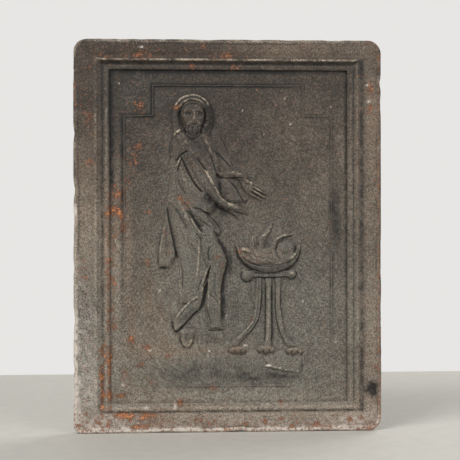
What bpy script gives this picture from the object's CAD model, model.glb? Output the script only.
import math
from functools import cache

import bpy
import numpy as np
from bpy.props import FloatProperty, FloatVectorProperty, PointerProperty
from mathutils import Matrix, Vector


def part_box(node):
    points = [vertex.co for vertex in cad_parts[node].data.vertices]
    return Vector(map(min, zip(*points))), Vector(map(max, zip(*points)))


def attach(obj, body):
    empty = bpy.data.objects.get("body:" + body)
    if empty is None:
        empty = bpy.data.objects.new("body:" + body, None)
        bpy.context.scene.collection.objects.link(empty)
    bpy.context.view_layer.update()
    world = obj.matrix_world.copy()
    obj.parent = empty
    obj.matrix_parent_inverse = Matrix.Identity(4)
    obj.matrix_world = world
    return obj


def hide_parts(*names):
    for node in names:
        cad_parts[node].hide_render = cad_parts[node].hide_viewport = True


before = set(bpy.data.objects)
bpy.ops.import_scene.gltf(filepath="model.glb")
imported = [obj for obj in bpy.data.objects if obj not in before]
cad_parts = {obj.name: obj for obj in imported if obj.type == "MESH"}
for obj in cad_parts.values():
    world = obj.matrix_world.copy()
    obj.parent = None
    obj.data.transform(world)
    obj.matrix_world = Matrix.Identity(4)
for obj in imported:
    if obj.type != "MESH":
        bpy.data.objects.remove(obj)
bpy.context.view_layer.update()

bl_info = {
    "name": "Cast iron stove plate",
    "version": (1, 0, 0),
    "blender": (4, 5, 0),
    "location": "View3D > Sidebar > Stove plate",
    "description": "Dresses a stove plate with a winter figure in low relief, piece by piece",
    "category": "Object",
}

# Shapes are worked out in millimetres on the face of the plate: x to the right, z up, and the rise
# h above the field, towards the viewer. Meshes are in metres.
MM = 0.001
SLOT = "patinated_iron"


def box_mm(node):
    """Lowest and highest corner of a CAD node, in millimetres."""
    return tuple(np.array(corner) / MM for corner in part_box(node))


BOARD_LOW, BOARD_HIGH = box_mm("back_plate")
FIELD_Y = BOARD_LOW[1]
BACK_Y = BOARD_HIGH[1]
HALF_WIDTH = BOARD_HIGH[0]
HEIGHT = BOARD_HIGH[2]
MIDDLE = HEIGHT / 2
BEAD_X = -box_mm("left_band")[1][0]
BEAD_Z = box_mm("bottom_band")[1][2]
LEDGE_X = -box_mm("left_moulding")[1][0]
LEDGE_Z = box_mm("bottom_moulding")[1][2]
BAND_RISE = FIELD_Y - box_mm("top_band")[0][1]
MOULDING_WIDTH = LEDGE_Z - BEAD_Z
PANEL_LOW, PANEL_HIGH = box_mm("panel_line")
PANEL_RISE = FIELD_Y - PANEL_LOW[1]

# Sizes that the boxes don't give
CORNER_RADIUS = 13.0
WORN_CORNER_RADIUS = 8.0
ARRIS = 2.4
BACK_BEVEL = 1.0
LEDGE_RISE = 2.3
LINE_WIDTH = 2.4
EAR_WIDTH = 28.0
EAR_HEIGHT = 29.5


# Settings

def length(name, description, millimetres):
    """Setting that holds a length."""
    return FloatProperty(name=name, description=description, default=millimetres * MM, unit="LENGTH")


def colour(name, description, red, green, blue):
    """Setting that holds a colour, written in the usual 0 to 255 steps of a screen and made linear by the
    sRGB formula."""
    screen = np.array((red, green, blue)) / 255
    linear = np.where(screen < 0.04045, screen / 12.92, ((screen + 0.055) / 1.055) ** 2.4)
    return FloatVectorProperty(name=name, description=description, default=tuple(linear), size=3,
                               subtype="COLOR", min=0, max=1)


class CastingSettings(bpy.types.PropertyGroup):
    """Sizes of the casting's own roughness and wear."""
    sheet_step: length("Relief step", "Spacing of the grid that carries the relief", 0.4)
    softness: length("Softness", "Radius to which wear has rounded the carving", 0.32)
    grain: length("Sand grain", "Height of the fine roughness of the sand mould", 0.05)
    swell: length("Swell", "Height of the slow waves of the field", 0.1)
    edge_wear: length("Edge wear", "How far the outer edge is worn back", 0.55)
    sunk: length("Bed", "How far a relief piece is bedded in the board", 0.9)


class FinishSettings(bpy.types.PropertyGroup):
    """Colours of the patinated iron."""
    dark_iron: colour("Dark iron", "Sooty upper part of the plate", 59, 54, 48)
    pale_iron: colour("Pale iron", "Dry lower part of the plate", 134, 125, 113)
    soot: colour("Soot", "Dirt in hollows and corners", 24, 22, 20)
    bare: colour("Rubbed iron", "Edges rubbed bare", 184, 170, 150)
    dust: colour("Dust", "Pale lime and dust", 208, 198, 188)
    dark_rust: colour("Old rust", "Brown rust", 108, 72, 54)
    bright_rust: colour("Fresh rust", "Orange rust", 180, 116, 69)
    warm_cast: colour("Warm cast", "Tint of the dry border", 255, 236, 223)
    cool_cast: colour("Cool cast", "Tint of the greyer middle", 233, 243, 246)


class StageSettings(bpy.types.PropertyGroup):
    """Camera, light and surroundings."""
    distance: FloatProperty(name="Distance", description="Camera to plate", default=1.2, unit="LENGTH")
    side: FloatProperty(name="Side", description="Camera's turn to the left of the plate",
                        default=math.radians(3.5), subtype="ANGLE")
    roll: FloatProperty(name="Roll", description="Camera's tilt about its own view",
                        default=math.radians(0.1), subtype="ANGLE")
    lens: FloatProperty(name="Lens", description="Focal length in millimetres", default=96.3,
                        unit="CAMERA")
    aim_right: length("Aim right", "Point aimed at, right of the plate's middle", 1.7)
    aim_up: length("Aim up", "Point aimed at, above the plate's middle", 5.6)
    floor_behind: length("Floor behind", "How far the floor goes on behind the plate", 490)
    floor: colour("Floor", "Pale grey floor", 182, 179, 171)
    backdrop: colour("Backdrop", "Off-white surroundings", 231, 230, 228)


# Working on arrays

# Points along a side of the lattice that noise repeats on
LATTICE = 256
# Fields of noise: size of a cell in millimetres, seed and octaves
NOISES = {
    "swell": (38, 61, 2), "sand": (2.6, 71, 2), "rough back": (30, 81, 4),
    "drying": (60, 11, 3), "dust clouds": (24, 21, 3), "dust grain": (3, 25, 3),
    "rust blots": (6, 31, 3), "rust haze": (9, 41, 3), "stain streaks": (5, 45, 3),
    "back drifts": (46, 61, 3), "back rust": (26, 62, 3), "back soot": (70, 63, 3),
    "edge waves": (26, 51, 3), "edge chips": (7, 55, 3), "step dirt": (4, 109, 3),
    "border lumps": (6, 91, 3), "border dirt": (5, 95, 3), "border rub": (14, 101, 3),
    "border grain": (3, 103, 3), "rim line": (20, 105, 3), "rim rub": (9, 107, 3),
    "line waver": (14, 111, 2), "line wear": (12, 115, 3), "line lumps": (5, 121, 3),
    "carving lumps": (5, 131, 3), "carving soot": (3, 141, 3), "carving rub": (2.2, 145, 3),
}


def eased(values):
    """Smooth step of values from 0 to 1."""
    values = np.clip(values, 0, 1)
    return values * values * (3 - 2 * values)


def between(values, low, high):
    """Smooth step from 0 at low to 1 at high."""
    return eased((values - low) / (high - low))


def noise(x, z, field):
    """Lattice noise of a field from about -1 to 1: random values at the corners of square cells, eased
    across each cell, summed over octaves that halve the cell and the strength."""
    cell, seed, octaves = NOISES[field]
    total = np.zeros(np.broadcast(x, z).shape)
    for octave in range(octaves):
        values = np.random.default_rng(seed + octave).uniform(-1, 1, (LATTICE, LATTICE))
        across = x * 2 ** octave / cell
        up = z * 2 ** octave / cell
        column = np.floor(across).astype(int)
        row = np.floor(up).astype(int)
        right = eased(across - column)
        top = eased(up - row)
        column, row = column % LATTICE, row % LATTICE
        next_column, next_row = (column + 1) % LATTICE, (row + 1) % LATTICE
        low = values[row, column] * (1 - right) + values[row, next_column] * right
        high = values[next_row, column] * (1 - right) + values[next_row, next_column] * right
        total = total + (low * (1 - top) + high * top) / 2 ** octave
    return total


def blur(values, steps):
    """Gaussian blur with a radius in grid steps, made by damping the spectrum."""
    margin = int(4 * steps) + 2
    padded = np.pad(values, margin, mode="edge")
    up = np.fft.fftfreq(padded.shape[0])[:, None]
    across = np.fft.rfftfreq(padded.shape[1])[None, :]
    damping = np.exp(-2 * (math.pi * steps) ** 2 * (up ** 2 + across ** 2))
    soft = np.fft.irfft2(np.fft.rfft2(padded) * damping, s=padded.shape)
    return soft[margin:-margin, margin:-margin]


def curve(points, per_span=8, closed=False):
    """Catmull-Rom curve through rows of numbers: a place and whatever else changes along it."""
    rows = np.asarray(points, float)
    if closed:
        rows = np.vstack((rows[-1:], rows, rows[:2]))
    else:
        rows = np.vstack((2 * rows[0] - rows[1], rows, 2 * rows[-1] - rows[-2]))
    a, b, c, d = (rows[k:len(rows) - 3 + k][:, None, :] for k in range(4))
    t = np.linspace(0, 1, per_span, endpoint=False)[None, :, None]
    spans = 0.5 * (2 * b + (c - a) * t + (2 * a - 5 * b + 4 * c - d) * t ** 2
                   + (3 * b - a - 3 * c + d) * t ** 3)
    line = spans.reshape(-1, rows.shape[1])
    return np.vstack((line, rows[-2:-1]))


# Weathering

# Rust on the face: x, z, half width, half height, strength
RUST = (
    (-122.5, 50, 2.6, 28, 1.0), (-115.3, 48, 2.0, 26, 1.05), (-119.5, 77, 6, 8, 1.7), (-97, 16, 20, 4, 1.1),
    (-105, 36, 5, 2.6, 0.55), (-126, 9, 3, 4, 0.6), (-88, 6, 8, 3, 0.42), (-95, 45, 3, 3, 0.55),
    (-117, 150, 2.5, 60, 0.62), (-111, 165, 2.5, 60, 0.45), (-44, 29, 9, 5, 0.6), (-93, 262, 5, 9, 1.0),
    (-108, 232, 6, 7, 0.85), (-102, 231, 3, 5, 0.6), (-109, 217, 5, 5, 0.85), (-117, 214, 4, 4, 0.7),
    (-103, 213, 3, 6, 0.7), (-103, 205, 5, 12, 0.65), (-85, 366, 18, 5, 0.45), (2, 366, 14, 4, 0.5),
    (-34, 355, 9, 4, 0.5), (4, 355, 12, 3, 0.45), (-86, 318, 7, 7, 0.5), (-137, 351, 5, 4, 0.6),
    (-136, 306, 5, 6, 0.4), (-149, 325, 3, 20, 0.35), (-88, 277, 4, 3, 0.7), (-105, 268, 5, 5, 0.4),
    (-51, 316, 4, 3, 0.6), (-19, 287, 3, 3, 0.55), (-45, 224, 8, 6, 0.6), (-27, 258, 7, 5, 0.3),
    (-12, 172, 4, 4, 0.6), (-6, 163, 3, 3, 0.5), (-62, 194, 3, 4, 0.5), (-59, 174, 4, 4, 0.6),
    (10, 177, 3, 3, 0.5), (22, 109, 3, 3, 0.35), (-94, 90, 4, 5, 0.6), (-81, 83, 4, 4, 0.6),
    (-77, 79, 4, 4, 0.5), (-84, 66, 5, 3.6, 0.85), (-102, 57, 4, 5, 0.75), (-101, 43, 5, 5, 0.65),
    (-75, 50, 5, 4, 0.45), (-58, 75, 5, 4, 0.4), (-17, 43, 6, 3, 0.45), (140, 335, 5, 6, 0.6),
    (139, 315, 4, 6, 0.45), (95, 105, 3, 3, 0.5), (-80, 166, 4, 4, 0.5), (-74, 146, 5, 4, 0.5),
    (-75, 114, 4, 4, 0.4), (-98, 242, 4, 5, 0.45), (-60, 112, 4, 4, 0.35), (-108, 103, 4, 6, 0.45),
    (-112, 158, 3, 8, 0.35), (-138, 152, 5, 5, 0.35), (-133, 263, 5, 5, 0.35), (-78, 213, 3, 4, 0.4),
    (9, 79, 8, 4, 0.2), (37, 79.6, 8, 4, 0.22), (65, 78, 8, 4, 0.2), (-28, 12, 12, 3, 0.4),
    (50, 29, 2.5, 2.5, 0.7), (79, 22, 3, 2, 0.4), (105, 16, 2.6, 2.4, 0.65), (118, 12, 2.4, 2.6, 0.65),
    (130, 13, 2.2, 2.2, 0.6), (17, 8, 2.5, 3, 0.6), (35, 10, 2.5, 2.6, 0.6), (52, 13, 3, 2.4, 0.5),
    (62, 5, 2.4, 2, 0.6), (85, 7, 2.4, 2, 0.6), (95, 2, 2.4, 2, 0.6), (-26, 374, 5, 4, 0.35),
    (-119, 364, 8, 4, 0.4), (36, 281, 3, 3, 0.35), (127, 285, 1.5, 70, 0.25), (14, 170, 4, 3, 0.3),
    (22, 166.4, 5, 2.4, 0.3), (31, 164.6, 6, 2, 0.3), (40, 164.2, 6, 2, 0.28), (55, 177, 8, 8, 0.18),
    (17, 176, 6, 4, 0.18), (-113, 35, 6, 5, 0.3),
)

# Patches that dried paler or stayed darker: x, z, half width, half height, amount
PATCHES = (
    (60, 374, 80, 12, 0.44), (-112, 372, 45, 14, -0.16), (139, 315, 15, 75, 0.42), (111, 270, 5, 40, 0.08),
    (-139, 200, 16, 66, 0.56), (106, 212, 7, 38, -0.22), (-62, 345, 46, 9, -0.15), (-86, 90, 30, 45, 0.16),
    (-20, 30, 90, 14, 0.18), (60, 130, 40, 60, -0.05), (-90, 335, 20, 20, -0.06), (-46, 222, 22, 44, 0.14),
    (-32, 150, 22, 45, 0.1), (139, 60, 16, 60, -0.02), (10, 11, 130, 9, 0.34), (0, 33, 110, 4, 0.2),
    (-139, 20, 20, 30, 0.1), (60, 300, 45, 45, 0.05), (-38, 215, 24, 22, 0.06), (-98, 175, 4, 55, 0.25),
    (-120, 165, 7, 125, 0.23), (-109, 165, 5, 62, 0.66), (-107, 262, 5, 30, 0.22), (0, 58, 60, 14, 0.05),
    (-40, 78, 34, 9, 0.14), (-139, 58, 16, 50, 0.3), (-139, 120, 14, 30, -0.24), (122, 12, 24, 12, 0.4),
    (-119, 50, 5, 40, 0.26), (139, 120, 12, 26, 0.08), (112, 212, 5, 20, 0.14), (100, 60, 34, 34, -0.14),
    (139, 120, 14, 32, 0.13), (100, 110, 26, 60, -0.02),
)

# Dark stains: x, z, half width, half height, amount
STAINS = (
    (141, 42, 5, 6, 1.2), (137, 40, 4, 3, 0.6), (143, 36, 3, 5, 0.6), (104.5, 224, 5, 13, 0.55),
    (107, 200, 4.5, 14, 0.5), (108, 184, 4, 9, 0.3), (50, 303, 20, 4, 0.15), (25, 297, 18, 3, 0.15),
    (-12, 56, 46, 9, 0.31), (48, 53.6, 28, 7, 0.31), (-34, 62, 26, 5, 0.2), (-50, 54, 13, 8, 0.22),
    (22, 54, 20, 8, 0.2), (38, 161, 26, 6, 0.2), (38, 120, 14, 40, 0.1), (-16, 92, 16, 8, 0.15),
    (-112, 300, 12, 60, 0.1), (-60, 348, 70, 5, 0.25),
)

# Specks of lime: x, z, half width, half height, amount
SPECKS = (
    (-33, 208, 0.8, 0.8, 1.2), (-2, 113, 1.0, 0.8, 1.2), (-19, 79, 1.0, 0.8, 1.2), (16, 84, 2.2, 1.0, 1.0),
    (39, 64.4, 2.4, 1.1, 1.5), (45.5, 62.2, 1.2, 0.7, 0.9), (50, 62, 1.4, 0.8, 0.9),
    (56, 60, 1.0, 0.7, 0.7), (62, 60.6, 1.0, 0.7, 0.7), (67.4, 59.2, 1.2, 0.8, 0.7),
    (73, 127, 0.9, 1.8, 0.7), (61, 300, 1.0, 0.8, 1.2), (-67, 138, 1.0, 0.8, 1.2), (14, 313, 0.8, 0.7, 1.2),
    (35, 290, 0.8, 0.7, 1.2), (56, 325, 0.8, 0.7, 1.2), (-106, 339, 0.7, 0.7, 1.2),
    (105, 87, 1.6, 0.9, 0.9), (101, 317, 0.8, 0.7, 1.2), (-77, 80, 2, 1.4, 1.2), (-102, 47, 3, 3, 0.7),
    (-80, 25, 2, 2, 0.7), (136, 338, 1.8, 1.2, 0.9), (138, 322, 2.2, 1.6, 0.8), (-84, 374, 2.4, 1.2, 0.8),
    (-52, 27, 1.6, 4, 0.9), (-149, 215, 2.5, 6, 0.9), (106, 219, 1.4, 3, 0.4),
)

# Places where the grey of the iron is cooler, or warmer below 0: x, z, half width, half height, amount
COOL = (
    (45, 120, 75, 75, 0.7), (5, 56, 74, 14, 0.6), (-32, 180, 36, 90, 0.35), (-77, 135, 4, 28, -0.45),
    (-98, 200, 5, 50, -0.3), (-94, 112, 6, 36, -0.3), (-66, 110, 5, 24, -0.3), (-118, 180, 6, 90, -0.3),
    (-30, 80, 50, 9, -0.4), (60, 310, 70, 50, -0.15), (-85, 330, 30, 20, 0.3), (30, 171, 24, 9, -0.6),
    (9, 79, 9, 5, -0.6), (37, 79, 9, 5, -0.6), (65, 78, 9, 5, -0.6), (-138, 70, 30, 100, 0.5),
    (-90, 372, 60, 14, -0.4), (40, 372, 70, 12, -0.2), (-139, 320, 14, 60, -0.15),
)

# Worn dips of the outer edge: x, z, depth, spread
EDGE_DIPS = (
    (150, 340, 1.2, 5), (150, 322, 0.6, 6), (-150, 290, 1.0, 6), (13, 0, 1.4, 4), (-62, 0, 0.8, 8),
    (90, 0, 0.6, 9), (-150, 235, 1.4, 7), (-150, 205, 0.7, 9), (150, 120, 0.5, 10), (-150, 110, 0.9, 7),
    (60, 382, 0.5, 8), (-20, 382, 0.6, 10), (-150, 62, 1.0, 4), (-150, 40, 1.4, 5), (-150, 160, 0.8, 5),
)

# How fast a spot fades outwards
SPOT_FADE = 0.9


def spots(x, z, places):
    """Sum of soft round spots over places x, z."""
    total = np.zeros(np.broadcast(x, z).shape)
    for spot_x, spot_z, half_x, half_z, amount in places:
        square = ((x - spot_x) / half_x) ** 2 + ((z - spot_z) / half_z) ** 2
        total = total + amount * np.exp(-SPOT_FADE * square)
    return total


class Face:
    """Places x, z on the face and where they lie: rim is the distance inwards from the plate's square
    outline, and the others tell from 0 to 1 how far a place belongs to the border, to the left side, to
    the lower part and to the crust along the outer edge."""

    def __init__(self, x, z):
        self.x, self.z = x, z
        self.rim = np.minimum(HALF_WIDTH - np.abs(x), MIDDLE - np.abs(z - MIDDLE))
        self.border = 1 - between(self.rim, BEAD_Z, LEDGE_Z + 4)
        self.left = between(-x, 60, 150)
        self.low = between(-z, -240, -30)
        self.crust = between(-self.rim, -7, -1.5) * (0.6 + 0.4 * between(self.rim, 0, 1.2))

    def dryness(self):
        """How pale the iron has dried: paler on the border, downwards and a little to the right, in slow
        clouds and in patches."""
        level = 0.34 + 0.06 * self.border + 0.0027 * (MIDDLE - self.z) + 0.0006 * self.x
        return level + 0.10 * noise(self.x, self.z, "drying") + spots(self.x, self.z, PATCHES)

    def dust(self, hollow):
        """Pale dust: on the low border, most to the left and along the bottom, in the crust of the lower
        edges and on the top edge. Clouds and grain break it up, specks of lime lie on it, and hollows
        hold less."""
        x, z = self.x, self.z
        bottom = (0.17 + 0.12 * between(x, 80, 130)) * between(-z, -30, -6)
        left_edge = 0.2 * between(-z, -250, -200) + 0.55 * between(-z, -130, -80)
        crusted = np.maximum(left_edge * between(-x, 120, 145), between(-z, -20, -8))
        dust = self.border * self.low * (0.2 + 0.2 * self.left + bottom) + self.crust * (0.1 + crusted)
        top_edge = 0.35 * between(z, 377, 381) * between(self.rim, 0, 3)
        dust = dust + 0.18 * self.left * self.low + top_edge
        broken = 0.85 + 0.2 * noise(x, z, "dust clouds") + 0.3 * noise(x, z, "dust grain")
        dust = dust * broken + spots(x, z, SPECKS)
        return dust * (1 - 0.6 * np.clip(hollow, 0, 1))

    def rust(self):
        """Rust: spots broken into blots, a haze on the border that thickens downwards, the crust of the
        right edge, the bottom edge and the lower left border."""
        x, z = self.x, self.z
        blots = 1.15 * spots(x, z, RUST) * (0.7 + 0.7 * noise(x, z, "rust blots"))
        haze = (0.05 + 0.07 * between(-z, -200, -40)) * self.border * (1 + noise(x, z, "rust haze"))
        right_edge = 0.34 * self.crust * between(x, 100, 150)
        bottom_edge = 0.2 * between(-z, -16, -5)
        lower_left = 0.15 * between(-z, -60, -10) * between(-x, 118, 140)
        return blots + haze + right_edge + bottom_edge + lower_left

    def soot(self, hollow):
        """Soot: what the hollows hold, which is more towards the upper left and less at the dusty lower
        left, the shaded right edge, and stains broken into level streaks."""
        x, z = self.x, self.z
        held = 0.75 + 0.25 * between(z - 0.5 * x, 90, 330) - 0.2 * self.left * self.low
        right_edge = between(-self.rim, -3.5, -0.5) * between(x, 120, 148) * between(z, 30, 90)
        streaks = np.clip(0.9 + 0.4 * noise(0.4 * x, z, "stain streaks"), 0.45, 1.2)
        stains = 0.45 * right_edge + spots(x, z, STAINS) * streaks
        return hollow * held + stains

    def coolness(self):
        """How cool a grey the iron is: a middle tone, cooler or warmer in places, warmer on the border."""
        return 0.5 + spots(self.x, self.z, COOL) - 0.15 * self.border


def clipped(weather):
    """Weather whose amounts are kept from 0 to 1."""
    return {name: np.clip(values, 0, 1) for name, values in weather.items()}


def weathering(x, z, hollow, crown):
    """Weather of the face at places x, z: how pale the iron has dried, soot, rust, dust, bare edges and
    how cool a grey it is. Hollow and crown tell how deep in a corner or how far out on an edge a place
    is."""
    face = Face(x, z)
    return clipped({
        "paler": face.dryness(), "soot": face.soot(hollow), "rust": face.rust(), "dust": face.dust(hollow),
        "bare": crown, "cool": face.coolness(),
    })


def back_weathering(x, z):
    """Weather of the plain back: drifts of rust and dust, both smooth noise over the place, and soot left
    by the fire that thins out downwards."""
    drift = noise(x, z, "back drifts")
    return clipped({
        "paler": 0.42 + 0.16 * drift - 0.0006 * (z - MIDDLE),
        "soot": 0.12 + 0.0008 * (z - MIDDLE) + 0.15 * noise(x, z, "back soot"),
        "rust": 0.16 + 0.2 * noise(x, z, "back rust"),
        "dust": 0.1 + 0.14 * between(-z, -60, 0) + 0.1 * drift,
        "bare": np.zeros_like(x),
        "cool": np.full_like(x, 0.4),
    })


# Meshes

# Edges that turn by more than this stay sharp
SHARP_TURN = math.radians(42)


def new_piece(node, points, faces, weather, corner_normals=None):
    """Closed mesh from points in millimetres (x, y, z) and arrays of faces, in place of a CAD node.
    It stands on the root body and wears the plate's iron."""
    mesh = bpy.data.meshes.new("cast_" + node)
    mesh.vertices.add(len(points))
    mesh.vertices.foreach_set("co", (points * MM).astype(np.float32).ravel())
    corners = np.concatenate([block.ravel() for block in faces])
    totals = np.concatenate([np.full(len(block), block.shape[1]) for block in faces])
    mesh.loops.add(len(corners))
    mesh.loops.foreach_set("vertex_index", corners.astype(np.int32))
    mesh.polygons.add(len(totals))
    mesh.polygons.foreach_set("loop_start", (np.cumsum(totals) - totals).astype(np.int32))
    mesh.polygons.foreach_set("use_smooth", np.ones(len(totals), bool))
    for name, values in weather.items():
        layer = mesh.attributes.new(name, "FLOAT", "POINT")
        layer.data.foreach_set("value", values.astype(np.float32).ravel())
    mesh.update(calc_edges=True)
    if mesh.validate():
        raise RuntimeError(f"{node} has faulty faces")
    if corner_normals is None:
        mesh.set_sharp_from_angle(angle=SHARP_TURN)
    else:
        mesh.normals_split_custom_set(corner_normals.tolist())
    mesh.materials.append(iron_material())
    piece = bpy.data.objects.new("cast_" + node, mesh)
    bpy.context.scene.collection.objects.link(piece)
    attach(piece, "root")
    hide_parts(node)


def outward(points, faces):
    """The same faces, turned round if the shell they close has a negative volume."""
    volume = 0.0
    for block in faces:
        first = points[block[:, 0]]
        for k in range(1, block.shape[1] - 1):
            normal = np.cross(points[block[:, k]], points[block[:, k + 1]])
            volume += (first * normal).sum()
    return faces if volume > 0 else [block[:, ::-1] for block in faces]


def tube_faces(sections, around, closed):
    """Faces of a tube of sections, each of so many points around; open tubes get end faces."""
    index = np.arange(sections * around).reshape(sections, around)
    following = np.roll(index, -1, axis=0) if closed else index[1:]
    here = index if closed else index[:-1]
    quads = np.stack((here, following, np.roll(following, -1, axis=1), np.roll(here, -1, axis=1)), axis=-1)
    faces = [quads.reshape(-1, 4)]
    if not closed:
        faces += [index[:1, ::-1], index[-1:]]
    return faces


def grid_faces(index):
    """Square faces of a grid of point numbers whose rows go up, seen from the front."""
    return np.stack((index[:-1, :-1], index[:-1, 1:], index[1:, 1:], index[1:, :-1]), axis=-1).reshape(-1, 4)


# Outline, board and border

# Steps of the field's grid, how far it goes on under the ledge, and how many of them make one of the back
FIELD_COLUMNS = 236
FIELD_ROWS = 328
UNDER_LEDGE = 2
BACK_STRIDE = 4
# Depth of the back's roughness, and where the round of the back bevel is fullest, as a share of it
BACK_ROUGHNESS = 0.25
BEVEL_ROUND = 0.3
# The board wears the face's weather down to this depth under the field, and then the back's
FACE_DEPTH = 1
# Points on each half of a rounded corner
ARC_POINTS = 24
# Sides in the order of an anticlockwise walk from the lower left corner
SIDES = ("bottom", "right", "top", "left")
# Line between band and moulding on the sides in that order
BEAD_LINES = (BEAD_Z, BEAD_X, HEIGHT - BEAD_Z, -BEAD_X)
# Corners in the same order: signs across and up
CORNERS = ((-1, -1), (1, -1), (1, 1), (-1, 1))


def corner_arc(corner):
    """Middle and radius of a rounded corner, and the angle at which the mitre meets its arc: the mitre
    is the line from the bead's corner through the plate's square corner."""
    across, up = CORNERS[corner]
    radius = WORN_CORNER_RADIUS if corner == 0 else CORNER_RADIUS
    middle = np.array((across * (HALF_WIDTH - radius), MIDDLE + up * (MIDDLE - radius)))
    start = np.array((across * BEAD_X, MIDDLE + up * (MIDDLE - BEAD_Z)))
    ray = np.array((across * HALF_WIDTH, MIDDLE + up * MIDDLE)) - start
    ray /= np.linalg.norm(ray)
    offset = start - middle
    reach = -offset @ ray + math.sqrt((offset @ ray) ** 2 - offset @ offset + radius ** 2)
    meeting = offset + reach * ray
    return middle, radius, math.atan2(meeting[1], meeting[0])


def side_outline(side, intervals):
    """Points along one side of the outline from mitre to mitre, evenly spaced: half a corner's arc, the
    straight edge, half the next arc. Wear then moves them inwards along the edge's own normal."""
    number = SIDES.index(side)
    facing = math.radians(90 * number - 90)
    arcs = []
    for corner, leaving in ((number, True), ((number + 1) % 4, False)):
        middle, radius, meeting = corner_arc(corner)
        turn = math.remainder(meeting - facing, 2 * math.pi)
        share = np.linspace(1, 0, ARC_POINTS) if leaving else np.linspace(0, 1, ARC_POINTS)
        angles = facing + turn * share
        arcs.append(np.column_stack((middle[0] + radius * np.cos(angles),
                                     middle[1] + radius * np.sin(angles), angles)))
    rows = np.vstack(arcs)
    along = np.concatenate(([0], np.cumsum(np.hypot(*np.diff(rows[:, :2], axis=0).T))))
    even = np.linspace(0, along[-1], intervals + 1)
    x, z, angle = (np.interp(even, along, rows[:, k]) for k in range(3))
    wear = edge_wear(x, z)
    return np.column_stack((x - wear * np.cos(angle), z - wear * np.sin(angle)))


def edge_wear(x, z):
    """How far the outer edge is worn back at places on it: slow noise, never outwards, and named dips."""
    depth = bpy.context.scene.stove_casting.edge_wear / MM
    worn = depth * np.clip(0.7 * noise(x, z, "edge waves") + 0.45 * noise(x, z, "edge chips"), 0, None)
    for dip_x, dip_z, dip, spread in EDGE_DIPS:
        worn = worn + dip * np.exp(-((x - dip_x) ** 2 + (z - dip_z) ** 2) / spread ** 2)
    return worn


def side_intervals(side):
    """Steps along a side, the same for the board and for what lies along it."""
    return FIELD_COLUMNS if side in ("bottom", "top") else FIELD_ROWS


def rectangle_side(side, lines, intervals):
    """Evenly spaced points along one side of the rectangle between four lines on the sides."""
    bottom, right, top, left = lines
    corners = np.array(((left, bottom), (right, bottom), (right, top), (left, top)))
    number = SIDES.index(side)
    share = np.linspace(0, 1, intervals + 1)[:, None]
    return corners[number] * (1 - share) + corners[(number + 1) % 4] * share


def loop_of(sides):
    """Points of four sides joined into a loop."""
    return np.vstack([points[:-1] for points in sides])


def field_waves(x, z):
    """Slow waves and sand grain of the cast surface, in millimetres."""
    casting = bpy.context.scene.stove_casting
    waves = casting.swell * noise(x, z, "swell") + casting.grain * noise(x, z, "sand")
    return waves / MM


def grid_loop(index):
    """Border of a grid of point numbers as a loop that starts at the lower left corner."""
    return np.concatenate((index[0, :-1], index[:-1, -1], index[-1, :0:-1], index[:0:-1, 0]))


def board_mesh():
    """Board: a fine grid for the field, with the height of its waves; a ring out to the outline; the
    edge and its back bevel; and a coarse rough grid for the back, joined on by a ring of long faces."""
    grid_x = np.linspace(-LEDGE_X - UNDER_LEDGE, LEDGE_X + UNDER_LEDGE, FIELD_COLUMNS + 1)
    grid_z = np.linspace(LEDGE_Z - UNDER_LEDGE, HEIGHT - LEDGE_Z + UNDER_LEDGE, FIELD_ROWS + 1)
    x, z = np.meshgrid(grid_x, grid_z)
    front = np.column_stack((x.ravel(), (FIELD_Y - field_waves(x, z)).ravel(), z.ravel()))
    outline = loop_of([side_outline(side, side_intervals(side)) for side in SIDES])
    inward = np.roll(outline, 1, axis=0) - np.roll(outline, -1, axis=0)
    inward = np.column_stack((inward[:, 1], -inward[:, 0]))
    inward /= np.linalg.norm(inward, axis=1)[:, None]
    bulge = BEVEL_ROUND * BACK_BEVEL
    rings = []
    for inset, y in ((0, FIELD_Y), (0, (FIELD_Y + BACK_Y) / 2), (0, BACK_Y - BACK_BEVEL),
                     (bulge, BACK_Y - bulge), (BACK_BEVEL, BACK_Y)):
        ring = outline + inset * inward
        rings.append(np.column_stack((ring[:, 0], np.full(len(ring), y), ring[:, 1])))
    back_x, back_z = x[::BACK_STRIDE, ::BACK_STRIDE], z[::BACK_STRIDE, ::BACK_STRIDE]
    rough = BACK_ROUGHNESS * (1 + noise(back_x, back_z, "rough back")) / 2
    back = np.column_stack((back_x.ravel(), (BACK_Y - np.clip(rough, 0, None)).ravel(), back_z.ravel()))
    points = np.vstack((front, *rings, back))

    front_index = np.arange(x.size).reshape(x.shape)
    count = len(outline)
    ring_index = x.size + np.arange(len(rings) * count).reshape(len(rings), count)
    back_index = x.size + len(rings) * count + np.arange(back_x.size).reshape(back_x.shape)
    loops = np.vstack((grid_loop(front_index)[None], ring_index))
    nexts = np.roll(loops, -1, axis=1)
    strips = np.stack((loops[:-1], loops[1:], nexts[1:], nexts[:-1]), axis=-1).reshape(-1, 4)
    fine = ring_index[-1].reshape(-1, BACK_STRIDE)
    fine = np.column_stack((fine, np.roll(fine[:, 0], -1)))
    coarse = grid_loop(back_index)
    long_faces = np.column_stack((fine, np.roll(coarse, -1), coarse))
    faces = [grid_faces(front_index), strips, long_faces, grid_faces(back_index)[:, ::-1]]
    return points, faces


# Rows of points across the flat of a band, round its arris, and across a moulding
BAND_ROWS = 30
ARRIS_ROWS = 8
MOULDING_ROWS = 28
# Lines of the border on the sides in their order: crest of the roll, and edge of the ledge
CREST_AT = (23.0, 127.2, HEIGHT - 20.5, -126.5)
LEDGE_AT = (LEDGE_Z + 0.5, LEDGE_X + 0.5, HEIGHT - LEDGE_Z - 1.9, 1.1 - LEDGE_X)
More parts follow.
